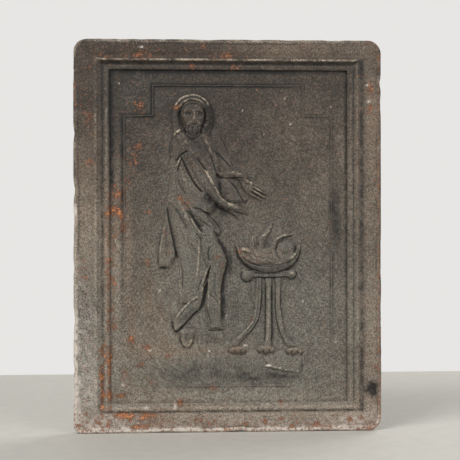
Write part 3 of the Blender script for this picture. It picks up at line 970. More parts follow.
# Lines cut or raised across the forms: width, rise (minus cuts), tint and points. A tint above 0 holds
# soot, one below 0 is rubbed bare; a line without rise only tints.
LINES = (
    # Hood
    (0.9, 1.0, -0.9, ((-53, 315), (-49.4, 320.6), (-45, 325.2), (-37, 328), (-29, 327.2), (-22, 322.6),
                      (-17.8, 316))),
    (0.8, -0.9, 0.5, ((-51, 314.6), (-47.4, 319.6), (-43, 323.2), (-36.6, 325.6), (-29.4, 324.8),
                      (-23, 320.8), (-19.6, 315))),
    (0.8, 0.6, -0.5, ((-48.8, 314), (-45.8, 318), (-41.6, 321.6), (-35.6, 323.4), (-28.6, 322.4),
                      (-23.6, 318.4))),
    (1.4, -1.3, 0.8, ((-24.6, 315), (-22.6, 308), (-23.6, 301), (-26, 295.4))),
    (4.2, 0, 0.75, ((-22, 319), (-18, 312), (-17, 305), (-19.6, 297), (-25, 293))),
    (1.6, -1.0, 0.6, ((-20.4, 303.4), (-22, 301.6), (-21.4, 299))),
    (1.2, -1.2, 0.7, ((-47.4, 313), (-47.6, 305), (-45.6, 297))),
    # Head and beard
    (1.4, 0.6, 0, ((-43.6, 311.6), (-39, 313.4), (-35, 312.2))),
    (1.4, 0.6, 0, ((-31.6, 312.2), (-27.6, 313.4), (-23.6, 311.6))),
    (2.0, -1.5, 0.5, ((-42, 309), (-36.8, 309))),
    (2.0, -1.5, 0.5, ((-29.8, 309), (-24.8, 309))),
    (1.0, 0.9, -0.2, ((-41, 308.8), (-37.8, 308.8))),
    (1.0, 0.9, -0.2, ((-28.8, 308.8), (-25.8, 308.8))),
    (1.5, 1.1, -0.2, ((-33.3, 314), (-33.2, 307.5), (-33.1, 303.6))),
    (1.1, 0.5, 0, ((-35.4, 303.4), (-30.9, 303.4))),
    (2.2, 0.4, 0, ((-41, 305), (-38.6, 303.6))),
    (2.2, 0.4, 0, ((-25.6, 305), (-28, 303.6))),
    (0.8, -0.7, 0.4, ((-45, 313.5), (-40, 317.8), (-34, 319.2), (-28, 317.8), (-23.4, 313.5))),
    (0.8, -0.9, 0.4, ((-34.2, 297.6), (-35, 292.5), (-34, 286.5))),
    (0.8, -0.8, 0.4, ((-37.6, 298.4), (-39.2, 293.5), (-37.6, 288))),
    (0.8, -0.8, 0.4, ((-30.4, 298.4), (-29.2, 293.5), (-31, 288))),
    (0.8, -0.7, 0.3, ((-41, 299), (-42, 295), (-40.4, 290.5))),
    (0.8, -0.7, 0.3, ((-27.2, 299), (-26.2, 295), (-28, 290.5))),
    (1.3, 0.7, -0.2, ((-33.4, 301.6), (-37, 301.2), (-41, 298.4))),
    (1.3, 0.7, -0.2, ((-33, 301.6), (-29.6, 301.2), (-25.8, 298.4))),
    (0.7, -0.8, 0.5, ((-36.2, 299.3), (-33.2, 298.9), (-30.2, 299.3))),
    (1.2, -0.8, 0.6, ((-43.6, 296), (-41, 289), (-35.4, 284.4), (-29, 287.4), (-24.6, 293))),
    # Shoulder, armpit and chest
    (1.4, 1.3, -0.8, ((-53.4, 288.6), (-49.8, 291.6), (-45.4, 294.4))),
    (1.1, -1.5, 0.8, ((-39, 273.6), (-43, 271.4), (-46.8, 268.8), (-51.6, 262))),
    (0.9, -1.0, 0.6, ((-45.4, 267), (-47.4, 260), (-49.8, 252))),
    (1.0, 0.7, -0.4, ((-46, 266.4), (-49, 262), (-51.4, 256))),
    (1.1, 0.5, -0.3, ((-56, 274), (-56, 262), (-56.4, 252))),
    (2.2, -0.7, 0.35, ((-36, 287), (-32, 280), (-26, 274))),
    (1.4, -0.6, 0.3, ((-27, 287), (-23, 279), (-20, 270))),
    (1.6, 0.6, -0.2, ((-23.6, 286), (-18.4, 276), (-15.6, 267))),
    (1.6, 0.5, -0.2, ((-43, 284), (-38, 276), (-33, 270))),
    (1.6, 0.6, -0.25, ((-47, 259), (-44, 248), (-40, 240))),
    (1.3, -0.6, 0.3, ((-50, 247), (-46, 238), (-41, 231))),
    (0.9, -0.5, 0.55, ((-54.2, 288), (-56.2, 281), (-56.8, 272), (-55.4, 262))),
    (0.8, 0.4, -0.35, ((-57, 262), (-58, 252), (-60, 238), (-61.4, 227))),
    # Near arm
    (1.1, -1.5, 0.9, ((-47.4, 271), (-42.8, 260.6), (-38.2, 251), (-33.4, 242.4), (-28.6, 236.4),
                      (-24, 232.6))),
    (1.2, 1.0, -1.0, ((-24, 257), (-20.6, 251.2), (-15.6, 242.2), (-10.8, 234), (-6.2, 227.6),
                      (-0.7, 223.4), (5.7, 221.4), (11, 220.6))),
    (1.0, -0.9, 0.6, ((-31, 267), (-28.6, 263.6), (-24.4, 258), (-20.4, 253.2))),
    (1.4, -0.6, 0.4, ((-28.8, 254), (-26.6, 251.6), (-27.4, 249))),
    (6.5, 0, 0.62, ((-25, 232.4), (-18.5, 226.6), (-13, 221.8), (-6.4, 216), (1, 210.5))),
    (3.6, -0.9, 0.6, ((-21, 227.4), (-15, 222), (-9, 217.6), (-4, 214))),
    (4.6, 0, 0.55, ((-11.6, 251), (-9.6, 243), (-6, 234.6), (-1, 228))),
    (0.8, -0.6, 0.5, ((-4.4, 215.6), (4, 211.6), (10.3, 206.4))),
    (2.0, 0.5, -0.8, ((0, 222.6), (5, 221.2), (10, 220.2))),
    (0.7, -0.6, 0.5, ((10, 217), (14, 215.6), (18, 213.6))),
    # Far arm, drape and hand
    (0.7, -0.7, 0.6, ((-18.2, 277.2), (-8, 268), (-2, 262.4), (2.4, 257))),
    (0.9, -1.0, 0.7, ((-18.2, 270.8), (-14.6, 260.8), (-11.8, 251.8), (-10.6, 248.4))),
    (1.7, -1.6, 1.0, ((-11.6, 251.4), (-10.4, 249), (-8.8, 248))),
    (0.8, -0.6, 0.6, ((-8, 288.4), (-3.6, 280), (1, 268.4))),
    (0.8, -0.9, 0.8, ((-11, 247.9), (-1, 247), (7, 247.2), (15.6, 247.4))),
    (1.2, -1.0, 1.15, ((-1.4, 246.2), (5.7, 239.6), (9, 234.6), (11.8, 229.8), (14.8, 224.4), (17, 224),
                       (19.2, 227.4))),
    (0.9, -0.6, 0.5, ((-8.8, 243), (-7.4, 236), (-5.4, 230))),
    (1.3, 0.5, -0.5, ((1, 252.6), (7, 253), (13, 251))),
    (1.5, 0.7, -0.6, ((14.4, 245.4), (19, 243.4), (24, 241.4))),
    (0.6, -0.5, 0.6, ((22, 241.6), (29, 237.6), (35.4, 233.4))),
    (0.6, -0.5, 0.7, ((22, 238.4), (29, 234.2), (36, 230))),
    (0.6, -0.5, 0.7, ((20.6, 235), (27, 230.8), (34, 226.8))),
    (0.7, 0.2, -0.5, ((24, 239.2), (29, 236.4), (34, 233.4))),
    (0.7, 0.2, -0.5, ((24, 235.4), (29, 232.4), (34, 229.4))),
    # Swags
    (0.7, -0.7, 0.5, ((-44, 224), (-42, 222), (-38.4, 218.2), (-33.8, 208.4), (-29.2, 199.4),
                      (-21, 191.4))),
    (0.8, 0.5, -0.3, ((-36.4, 209), (-32, 200), (-26.4, 193.6))),
    (0.6, -0.5, 0.4, ((-40, 212), (-35.8, 203), (-30, 195), (-24, 190.6))),
    (0.7, -0.6, 0.5, ((-22, 212), (-18, 206.6), (-14.6, 200), (-11.6, 196))),
    (0.8, -0.8, 0.6, ((-36.6, 218.8), (-24.6, 215.6), (-17.3, 209.4), (-11.8, 203), (-9, 198))),
    (0.8, -0.7, 0.5, ((-28, 206.4), (-22, 202.6), (-16, 199.6))),
    (0.9, -0.6, 0.35, ((-32, 192.8), (-27, 191.6), (-20, 190.6))),
    (1.1, 0.5, -0.35, ((-26, 217.4), (-19, 213), (-14, 207.4))),
    (1.6, -0.6, 0.35, ((-52, 219), (-46, 208), (-40, 197))),
    (1.8, 0.5, -0.3, ((-50, 226), (-44, 216), (-38, 205))),
    (1.2, -0.5, 0.4, ((-21, 207), (-14, 202), (-11, 196))),
    # Back and mantle
    (1.1, -1.5, 0.95, ((-59.8, 222), (-57.8, 206), (-54.2, 189.6), (-51.4, 175.6), (-49.4, 168))),
    (0.8, 0.8, -0.6, ((-50.4, 174), (-48.6, 165), (-46.8, 156), (-47.4, 144), (-47, 128))),
    (0.8, -0.6, 0.5, ((-46.2, 164), (-44.6, 152), (-45, 138))),
    (0.9, 0.6, -0.4, ((-61.6, 204), (-65, 188), (-66.8, 174), (-66.6, 163))),
    (1.6, -0.8, 0.9, ((-67.6, 160), (-64, 159.8), (-60, 159.6))),
    (0.9, 0, 0.2, ((-62.6, 202), (-66.6, 186), (-68.4, 174), (-68.6, 161))),
    (1.2, 0, 0.45, ((-62, 154), (-61, 150), (-62, 146))),
    (1.2, 0, 0.4, ((-61, 139.6), (-57, 139.2), (-52, 139.6))),
    (1.4, -0.4, 0.35, ((-60, 200), (-61, 186), (-60.6, 170))),
    # Skirts
    (1.0, 0.9, -0.55, ((-28.3, 189), (-29.2, 169), (-31, 151), (-33, 139))),
    (1.0, -0.5, 0.35, ((-37, 184), (-34, 178.6), (-30.6, 173))),
    (1.1, -0.3, 0.2, ((-40, 190), (-38.4, 182), (-35, 175))),
    (1.0, -0.9, 0.6, ((-18.4, 166), (-20, 172), (-18.6, 182))),
    (1.0, -1.6, 0.6, ((-17, 164), (-19.6, 155), (-22.4, 147.6), (-24.6, 143), (-22.4, 139), (-22, 134))),
    (1.9, -1.9, 1.1, ((-20.6, 147), (-22.4, 138), (-24.2, 130), (-26.4, 122), (-28.6, 117))),
    (1.0, 0.9, -0.6, ((-19.6, 161), (-23, 151), (-25, 143), (-26, 136))),
    (0.8, -0.6, 0.5, ((-25, 152), (-28, 144), (-30, 137))),
    (0.9, 0.6, -0.4, ((-17, 160), (-19.4, 146), (-20, 132), (-19.4, 118))),
    (0.8, -0.7, 0.5, ((-21, 135.8), (-14, 130.6), (-9, 124.4))),
    (0.8, -0.6, 0.4, ((-17, 138), (-13, 134), (-9.4, 129.6))),
    (0.8, -0.7, 0.45, ((-21.6, 122), (-19, 113), (-17.2, 104.6))),
    (1.3, -0.6, 0.3, ((-13, 156), (-14, 146), (-13, 137))),
    (1.0, 0.6, -0.4, ((-10, 186), (-6.4, 177), (-3, 168), (-5, 156), (-8.4, 140), (-9, 124), (-8.6, 108))),
    (2.9, 0, 0.9, ((-11, 191), (-7, 183), (-3, 175), (-0.4, 167), (-1.4, 159), (-4.4, 150), (-5.2, 140),
                   (-4.9, 128), (-4.9, 116), (-4, 106))),
    (0.8, -0.7, 0.55, ((-20.6, 98.8), (-13, 98.6), (-4.4, 99.6))),
    (0.7, -0.3, 0.35, ((-43, 102.4), (-34, 101.4), (-22, 100.2))),
    (1.0, 0, 0.45, ((-20.6, 97), (-20.8, 91), (-21, 84))),
    (0.9, 0, 0.4, ((-7, 98), (-3, 94), (0, 92))),
    (4.4, 0, 0.65, ((-2, 177), (1.4, 169), (1.6, 161), (-1.6, 152))),
    # Hem and foot
    (0.8, 0.6, -0.6, ((-29, 132.6), (-37.5, 127.4), (-46.4, 118.4), (-52.6, 109.4))),
    (0.8, -0.6, 0.6, ((-28, 130.4), (-36, 125.4), (-44.4, 117), (-50.4, 109))),
    (4.0, 0, 0.5, ((-48, 106), (-40, 114), (-32, 121.4))),
    (1.3, -1.2, 1.1, ((-53, 99.6), (-50.6, 98.2), (-43, 104.8), (-35.6, 113), (-28.2, 120.4))),
    (1.0, -0.5, 0.7, ((-54.4, 109), (-54.6, 104.6), (-53, 100))),
    (1.0, 0.8, -0.9, ((-45.8, 95), (-44.8, 87.8), (-42.2, 84), (-39.6, 83.6), (-37.2, 86.4), (-35.2, 92))),
    (0.8, 0, 0.5, ((-47.6, 96), (-47.4, 90), (-45.4, 84.6), (-41, 80.8), (-37, 82.6), (-33.4, 90),
                   (-32.6, 97))),
    (2.4, -0.5, 0.4, ((-40.4, 97), (-40.6, 92), (-40.4, 88.6))),
    # Bowl, collar and volutes
    (0.9, 0, 0.75, ((6.8, 180), (9.6, 170), (17, 160.6), (26.4, 155.4), (38, 153.8), (51, 156.2),
                    (64.2, 163.4), (69.8, 173.6), (70.4, 181))),
    (0.8, 0.5, -0.2, ((10.6, 178.4), (14.4, 172.8), (20, 167.8), (28, 163.8), (38, 162.4), (48, 163.2))),
    (0.7, -0.6, 0.55, ((12, 172.4), (16.6, 167.2), (23, 163.8), (31, 161.6), (40, 161), (48, 161.8))),
    (0.8, 0.5, -0.8, ((45, 163.4), (48, 164), (51.6, 164.6))),
    (0.9, 0.5, -0.9, ((57.6, 167.2), (62, 170), (65.8, 174))),
    (1.1, -0.5, 0.8, ((55, 163.6), (60, 165.4), (64.4, 169), (67.4, 174.6), (68, 180))),
    (4.8, 0, 0.36, ((13, 168), (24, 160.4), (39, 157.6), (53, 159.4), (64, 167))),
    (0.9, -0.6, 0.9, ((23.4, 150), (36, 150), (50, 150.2), (56.6, 151.6))),
    (0.6, -0.3, 0.3, ((23, 154.6), (30, 154), (38, 153.4))),
    (1.0, 0, 0.95, ((14.6, 157), (12.4, 153.4), (13, 148.8), (17, 146), (21.4, 147), (24, 149.8))),
    (1.0, 0, 0.9, ((56.8, 150.8), (60.6, 148.4), (64.6, 149.8), (66.6, 153.6), (65, 157.6))),
    (1.4, 0.4, -0.6, ((60, 155), (62, 154.4), (63.4, 155.6))),
    (0.8, 0.3, -0.5, ((13.4, 159.6), (15, 157), (16.6, 155.6))),
    # Fire
    (0.9, 0.7, -0.9, ((31.8, 190.6), (35.4, 191.8), (38.8, 194.2), (41.2, 197.6), (42.6, 200.6))),
    (0.8, -0.5, 0.5, ((24.4, 188), (25.4, 184), (26, 179))),
    (0.8, -0.5, 0.4, ((29, 186), (29.6, 181), (31, 177))),
    (0.8, -0.7, 0.6, ((50.6, 187.4), (47.4, 182.6), (46.4, 176.6), (48, 171), (51, 167.6))),
    (0.8, -0.6, 0.55, ((42.6, 180.6), (47, 185.4), (53, 188.6), (60, 190.2), (63, 191))),
    (1.4, 0.5, -0.4, ((47.6, 187.6), (52, 191), (57, 192.6))),
    (1.8, 0.4, -0.45, ((12.6, 178.4), (16.6, 177.8), (21, 175.6))),
    (1.1, 0.4, -0.6, ((21.6, 172), (26, 169.4), (31, 167.8))),
    (0.8, -0.5, 0.4, ((38, 190), (43, 186), (46, 184.4))),
    (0.8, 0.5, 0.2, ((28, 170), (31, 172), (34, 169.6), (37, 172), (40, 169), (44, 172))),
    (0.8, 0.5, -0.3, ((30, 168.4), (34, 166.6), (38, 167.6), (42, 166.2))),
    (0.7, -0.5, 0.4, ((19, 172.6), (22, 170), (26, 170.8), (29, 168))),
    (0.7, -0.5, 0.4, ((22.4, 187.4), (23, 182.6), (21.6, 179.4))),
    (0.7, 0.5, -0.5, ((21.4, 183), (23, 186), (24, 191))),
    (0.7, -0.5, 0.4, ((33.8, 188.6), (35.4, 183), (34, 177.6))),
    (1.1, -0.6, 0.7, ((62.6, 186), (65.4, 181.6), (65.6, 176))),
    # Legs and paws
    (0.7, 0.4, -0.3, ((27, 147), (26.8, 130), (24.9, 113.6), (22, 105.4), (13.6, 94.8), (5, 86.4))),
    (0.8, -0.5, 0.8, ((32.4, 149), (32.4, 130), (30.3, 113.6), (27.5, 106), (23.2, 99.5), (17.8, 95),
                      (9.1, 87.6))),
    (0.6, -0.3, 0.35, ((29.6, 148), (29.4, 130), (27.4, 113), (24, 104.6), (16, 95.6))),
    (0.7, 0, -0.3, ((34.2, 147), (34.2, 128), (33.6, 113.6), (31.8, 105))),
    (0.7, -0.5, 0.75, ((36.1, 149), (36.1, 120), (35.8, 97), (35.2, 87))),
    (0.9, 0.4, -0.42, ((39, 149), (39, 120), (38.6, 97), (37.8, 87))),
    (1.2, -0.6, 1.0, ((42.3, 149), (42.3, 120), (42.5, 104), (42.7, 95), (41, 86.6))),
    (0.6, 0, -0.3, ((44.3, 148), (44.3, 126), (44.8, 113.6), (46, 105))),
    (0.7, -0.5, 0.65, ((46, 149), (45.8, 125), (46.3, 113.6), (48.3, 102.8), (51, 95), (54.4, 88.6))),
    (1.1, 0.3, -0.25, ((48.8, 146), (48.5, 122), (50, 108), (52.4, 99))),
    (0.7, -0.4, 0.65, ((51.4, 149), (50.9, 125), (52.5, 113.6), (53.8, 102.8), (55.8, 95), (59.6, 89.8),
                       (64.3, 84.9))),
    (0.7, 0.3, 0.4, ((41, 89.4), (44, 83.4), (50.3, 80), (57.9, 80.6))),
    (0.9, 0.3, -0.4, ((47, 82.8), (51, 81), (55, 81.4))),
    (0.8, -0.8, 0.5, ((6.4, 80.6), (5.8, 76.2))),
    (0.8, -0.8, 0.5, ((11.6, 80.6), (12.4, 76.2))),
    (0.8, -0.8, 0.5, ((34.4, 80.8), (33.8, 76.2))),
    (0.8, -0.8, 0.5, ((39.4, 80.8), (40, 76.2))),
    (0.8, -0.8, 0.5, ((62, 79.2), (61.4, 75))),
    (0.8, -0.8, 0.5, ((67, 79.2), (67.8, 75))),
    (1.2, 0.6, -0.6, ((8, 82), (13, 82.2), (16, 80.6))),
    (1.2, 0.6, -0.3, ((31, 82), (37, 83), (42, 81.6))),
    (1.2, 0.6, -0.3, ((59, 80), (65, 81), (70, 79.4))),
    (1.0, 0, 0.72, ((-0.6, 81), (1.4, 77), (9, 75), (16, 76.2), (18.4, 79))),
    (1.0, 0, 0.7, ((27.6, 81), (29.6, 76.6), (37, 74.8), (44, 76), (46, 79.6))),
    (1.0, 0, 0.72, ((55.6, 79.4), (57.6, 75.4), (65, 73.8), (72, 75), (74.2, 78.4))),
    # Ground
    (4.0, 0, 0.25, ((34, 58), (48, 55.4), (68, 54.4))),
    (1.6, -0.4, 0.28, ((36, 62), (44, 60.4), (54, 58), (66, 56.4))),
    (1.1, 0.5, 0, ((34, 64.6), (42, 63.4), (52, 60.6), (66, 58.8))),
    (0.9, 0, 0.6, ((73, 66), (72.4, 60), (69, 55.6))),
    (0.9, -0.5, 0.5, ((33, 75), (34, 70), (38, 65))),
    (1.4, -0.4, 0.3, ((-30, 84), (-27, 78), (-21, 74))),
)

# Far from a form the sheet lies this deep; cells whose height is below the second value are left out
OUTSIDE = -3.0
SHOWN_ABOVE = -0.45
# Fillet at the foot of a form: its height, how far it runs out on the field, and the slope beyond
FILLET = 0.3
RUNOUT = 1.9
FALL = 1.1
# Width of the space round a form that is worked out
MARGIN = 4.0
# How full a form's section is: 0.5 is a half ellipse, more is leaner
SECTION = 0.85
# Width of the end shoulders of a mass
END_SHOULDER = 4.0
# Lines are cut this much narrower than their tables say, and take this much more tint
LINE_WIDTH_SHARE = 0.82
LINE_TINT = 1.3
# How far from a line its mark is worked out, in widths; share of its length that fades at each end; and
# heights between which a form begins to take its cut and takes it in full
LINE_REACH = 2.4
LINE_FADE = 0.12
LINE_HOLD = (0.05, 0.8)
# Radii of the blurs that tell fine and broad hollows
FINE_RADIUS = 0.7
BROAD_RADIUS = 2.4
# Part of the face that the sheet covers
SHEET_X = (-76, 80)
SHEET_Z = (40, 334)
# Rounds in which cells take over their neighbours' form, how many cells off those lie, and most rounds
# that join cells
VOTING_ROUNDS = 2
VOTERS_REACH = 2
JOINING_ROUNDS = 20


class Sheet:
    """Square grid over the relief that holds the height of one form after another."""

    def __init__(self, step):
        self.step = step
        self.x = np.arange(*SHEET_X, step)
        self.z = np.arange(*SHEET_Z, step)

    def window(self, low_x, low_z, high_x, high_z):
        """Rows and columns of the grid between two corners, and their places."""
        columns = slice(*np.searchsorted(self.x, (low_x, high_x)))
        rows = slice(*np.searchsorted(self.z, (low_z, high_z)))
        return (rows, columns), self.x[columns][None, :], self.z[rows][:, None]

    def near(self, line, reach):
        """Distance from the places within reach of a line of points, and their place along the line,
        counted in its points."""
        low, high = line[:, :2].min(axis=0) - reach, line[:, :2].max(axis=0) + reach
        part, x, z = self.window(*low, *high)
        nearest = np.full((z.size, x.size), np.inf)
        along = np.zeros_like(nearest)
        for k in range(len(line) - 1):
            step_x, step_z = line[k + 1, :2] - line[k, :2]
            from_x, from_z = x - line[k, 0], z - line[k, 1]
            share = np.clip((from_x * step_x + from_z * step_z) / (step_x ** 2 + step_z ** 2), 0, 1)
            square = (from_x - share * step_x) ** 2 + (from_z - share * step_z) ** 2
            closer = square < nearest
            nearest = np.where(closer, square, nearest)
            along = np.where(closer, k + share, along)
        return part, np.sqrt(nearest), along


def raised(share, inside, rise):
    """Section of a form: a rounded shoulder that reaches rise where share is 1; outside the edge, where
    inside is below 0, a fillet runs out on the field and then dives under it."""
    full = np.clip(share, 0, 1)
    up = FILLET + (rise - FILLET) * (1 - (1 - full) ** 2) ** SECTION
    fillet = FILLET * (1 + inside / RUNOUT) ** 2
    return np.where(inside > 0, up, np.where(inside > -RUNOUT, fillet, FALL * (inside + RUNOUT)))


def limb(sheet, rows):
    """Form along a curve: the section's half width and rise change along it."""
    line = curve(rows)
    part, distance, along = sheet.near(line, line[:, 2].max() + MARGIN)
    half, rise = (np.interp(along, np.arange(len(line)), line[:, k]) for k in (2, 3))
    return part, raised(1 - distance / half, half - distance, rise)


def mass(sheet, left_shoulder, right_shoulder, rows):
    """Form between a left and a right edge that change with z, each with its own shoulder."""
    line = curve(rows)
    line = line[np.argsort(line[:, 2])]
    low, high = line[0, 2], line[-1, 2]
    part, x, z = sheet.window(line[:, 0].min() - MARGIN, low - MARGIN,
                              line[:, 1].max() + MARGIN, high + MARGIN)
    left, right, rise = (np.interp(z, line[:, 2], line[:, k]) for k in (0, 1, 3))
    narrow = np.minimum(1, (right - left) / (left_shoulder + right_shoulder))
    inside = np.minimum(np.minimum(x - left, right - x), np.minimum(z - low, high - z))
    share = np.minimum((x - left) / (left_shoulder * narrow), (right - x) / (right_shoulder * narrow))
    share = np.minimum(share, np.minimum(z - low, high - z) / END_SHOULDER)
    return part, raised(share, inside, rise)


def leaf(sheet, rise, shoulder, points):
    """Form inside a closed curve, whose rise is reached a shoulder's width from the edge. A place is
    inside where a ray to the right crosses the curve an odd number of times."""
    line = curve(points, closed=True)
    part, distance, _ = sheet.near(line, MARGIN)
    x, z = sheet.x[part[1]][None, :], sheet.z[part[0]][:, None]
    within = np.zeros(distance.shape, bool)
    for (from_x, from_z), (to_x, to_z) in zip(line[:-1], line[1:]):
        if from_z != to_z:
            crossing = from_x + (z - from_z) / (to_z - from_z) * (to_x - from_x)
            within ^= ((from_z > z) != (to_z > z)) & (x < crossing)
    return part, raised(distance / shoulder, np.where(within, distance, -distance), rise)


def dome(sheet, middle_x, middle_z, half_x, half_z, rise):
    """Half an ellipsoid."""
    part, x, z = sheet.window(middle_x - half_x - MARGIN, middle_z - half_z - MARGIN,
                              middle_x + half_x + MARGIN, middle_z + half_z + MARGIN)
    reach = np.sqrt(((x - middle_x) / half_x) ** 2 + ((z - middle_z) / half_z) ** 2)
    return part, raised(1 - reach, (1 - reach) * min(half_x, half_z), rise)


FORMS = {"limb": limb, "mass": mass, "leaf": leaf, "dome": dome}


def settle_owners(owner, count):
    """Give each cell of the sheet to the form that most of its neighbours belong to, then join cells of
    one form that touch only at a corner."""
    rows, columns = owner.shape
    around = range(2 * VOTERS_REACH + 1)
    for _ in range(VOTING_ROUNDS):
        votes = np.zeros((count + 1, rows, columns), np.int16)
        padded = np.pad(owner, VOTERS_REACH, mode="edge") + 1
        for down in around:
            for across in around:
                seen = padded[None, down:down + rows, across:across + columns]
                np.put_along_axis(votes, seen, np.take_along_axis(votes, seen, axis=0) + 1, axis=0)
        owner = votes.argmax(axis=0) - 1
    for _ in range(JOINING_ROUNDS):
        a, b = owner[:-1, :-1], owner[:-1, 1:]
        c, d = owner[1:, :-1], owner[1:, 1:]
        rising = (a == d) & (b != a) & (c != a)
        falling = (b == c) & (a != b) & (d != b) & ~rising
        if not (rising.any() or falling.any()):
            break
        b[rising] = a[rising]
        a[falling] = b[falling]
    return owner


class Relief:
    """All forms carved on one sheet: the height of the worn surface, its normals, how deep in a corner or
    far out on an edge each place is, and which form each cell belongs to."""

    def __init__(self):
        casting = bpy.context.scene.stove_casting
        self.sheet = Sheet(casting.sheet_step / MM)
        step = self.sheet.step
        tables = {**FIGURE, **BRAZIER, **GROUND}
        self.names = list(tables)
        heights = self.raise_forms(tables.values())
        carved, soot, rub = self.cut_lines(heights.max(axis=0))
        x, z = self.sheet.x[None, :], self.sheet.z[:, None]
        grain = field_waves(x, z) + 0.05 * noise(x, z, "carving lumps")
        self.height = blur(carved, casting.softness / MM / step) + grain
        shown = np.maximum(self.height, grain)
        fine, broad = (blur(shown, radius / step) - shown for radius in (FINE_RADIUS, BROAD_RADIUS))
        uneven = np.clip(0.9 + 0.45 * noise(x, z, "carving soot"), 0.4, 1.2)
        broken = np.clip(0.65 + 0.8 * noise(x, z, "carving rub"), 0.05, 1.25)
        self.hollow = np.clip(1.2 * fine, 0, 0.8) + np.clip(0.3 * broad, 0, 0.35) + soot * uneven
        self.crown = (np.clip(-1.1 * fine - 0.08, 0, 1) * between(shown, 0.5, 2) + 0.85 * rub) * broken
        slope_z, slope_x = np.gradient(self.height, step)
        normals = np.stack((-slope_x, -np.ones_like(slope_x), -slope_z), axis=-1)
        self.normals = normals / np.linalg.norm(normals, axis=-1)[..., None]
        self.owner = self.share_cells(heights)

    def raise_forms(self, pieces):
        """Height of each piece by itself: the highest of its forms, and deep under the field elsewhere."""
        heights = np.full((len(pieces), self.sheet.z.size, self.sheet.x.size), OUTSIDE)
        for height, forms in zip(heights, pieces):
            for kind, *numbers in forms:
                part, form = FORMS[kind](self.sheet, *numbers)
                height[part] = np.maximum(height[part], form)
        return heights

    def cut_lines(self, height):
        """Height with the lines cut or raised across it, and the soot and rub along them: each mark is a
        bell over the distance to the line that fades at the line's ends."""
        soot, rub = np.zeros_like(height), np.zeros_like(height)
        for width, rise, tint, points in LINES:
            path = curve(points)
            part, distance, along = self.sheet.near(path, LINE_REACH * width)
            share = along / (len(path) - 1)
            ends = eased(share / LINE_FADE) * eased((1 - share) / LINE_FADE)
            mark = ends * bell(distance / (LINE_WIDTH_SHARE * width))
            height[part] += rise * mark * between(height[part], *LINE_HOLD)
            soot[part] = np.maximum(soot[part], LINE_TINT * tint * mark)
            rub[part] = np.maximum(rub[part], -LINE_TINT * tint * mark)
        return height, soot, rub

    def share_cells(self, heights):
        """Number of the piece that each cell belongs to: the highest there, or -1 well under the field."""
        cells = (heights[:, :-1, :-1] + heights[:, :-1, 1:] + heights[:, 1:, :-1] + heights[:, 1:, 1:]) / 4
        owner = np.where(cells.max(axis=0) > SHOWN_ABOVE, cells.argmax(axis=0), -1)
        return settle_owners(owner, len(heights))

    def sample(self, values, x, z):
        """Values of the sheet at places x, z, taken between its points, and 0 off the sheet."""
        across = (x - self.sheet.x[0]) / self.sheet.step
        up = (z - self.sheet.z[0]) / self.sheet.step
        rows, columns = values.shape
        on = (across >= 0) & (up >= 0) & (across < columns - 1) & (up < rows - 1)
        column = np.clip(np.floor(across).astype(int), 0, columns - 2)
        row = np.clip(np.floor(up).astype(int), 0, rows - 2)
        right, top = across - column, up - row
        low = values[row, column] * (1 - right) + values[row, column + 1] * right
        high = values[row + 1, column] * (1 - right) + values[row + 1, column + 1] * right
        return np.where(on, low * (1 - top) + high * top, 0)

    def lay(self, node):
        """Closed piece of the sheet's cells that belong to a form: its front follows the sheet, and its
        flat back and the walls round it are bedded in the board."""
        mine = np.pad(self.owner == self.names.index(node), 1)
        inner = mine[1:-1, 1:-1]
        row, column = np.nonzero(inner)
        width = self.sheet.x.size
        corner = row * width + column
        front = np.column_stack((corner, corner + 1, corner + width + 1, corner + width))
        edges = []
        for neighbour, first, last in ((mine[:-2, 1:-1], 0, 1), (mine[1:-1, 2:], 1, width + 1),
                                       (mine[2:, 1:-1], width + 1, width), (mine[1:-1, :-2], width, 0)):
            row, column = np.nonzero(inner & ~neighbour)
            corner = row * width + column
            edges.append(np.column_stack((corner + first, corner + last)))
        edges = np.vstack(edges)
        used, numbers = np.unique(front, return_inverse=True)
        front = numbers.reshape(front.shape)
        edges = np.searchsorted(used, edges)
        count = len(used)
        walls = np.column_stack((edges[:, 1], edges[:, 0], edges[:, 0] + count, edges[:, 1] + count))
        faces = [front, walls, front[:, ::-1] + count]
        row, column = np.divmod(used, width)
        x, z = self.sheet.x[column], self.sheet.z[row]
        bed = bpy.context.scene.stove_casting.sunk / MM
        points = np.vstack((np.column_stack((x, FIELD_Y - self.height[row, column], z)),
                            np.column_stack((x, np.full(count, FIELD_Y + bed), z))))
        weather = weathering(x, z, self.hollow[row, column], self.crown[row, column])
        weather = {name: np.tile(values, 2) for name, values in weather.items()}
        along = points[walls[:, 1]] - points[walls[:, 0]]
        wall_normals = np.column_stack((along[:, 2], np.zeros(len(along)), -along[:, 0]))
        wall_normals /= np.linalg.norm(wall_normals, axis=1)[:, None]
        corner_normals = np.vstack((self.normals[row, column][front.ravel()],
                                    np.repeat(wall_normals, 4, axis=0),
                                    np.tile((0.0, 1.0, 0.0), (front.size, 1))))
        new_piece(node, points, faces, weather, corner_normals)


@cache
def relief():
    """The carved sheet, made once."""
    return Relief()


def lay_relief(pieces):
    """Lay the pieces of a table of forms."""
    for node in pieces:
        relief().lay(node)


# Finish

# Patterns of the finishes: scale, detail and roughness of their noise
GRAIN = (820, 3, 0.7)
SAND = (420, 4, 0.7)
MOTTLE = (60, 4, 0.6)
BLOOM = (380, 5, 0.75)
FLOOR_MOTTLE = (60, 3, 0.6)
# Range in which such noise mostly lies
NOISE_RANGE = (0.3, 0.7)


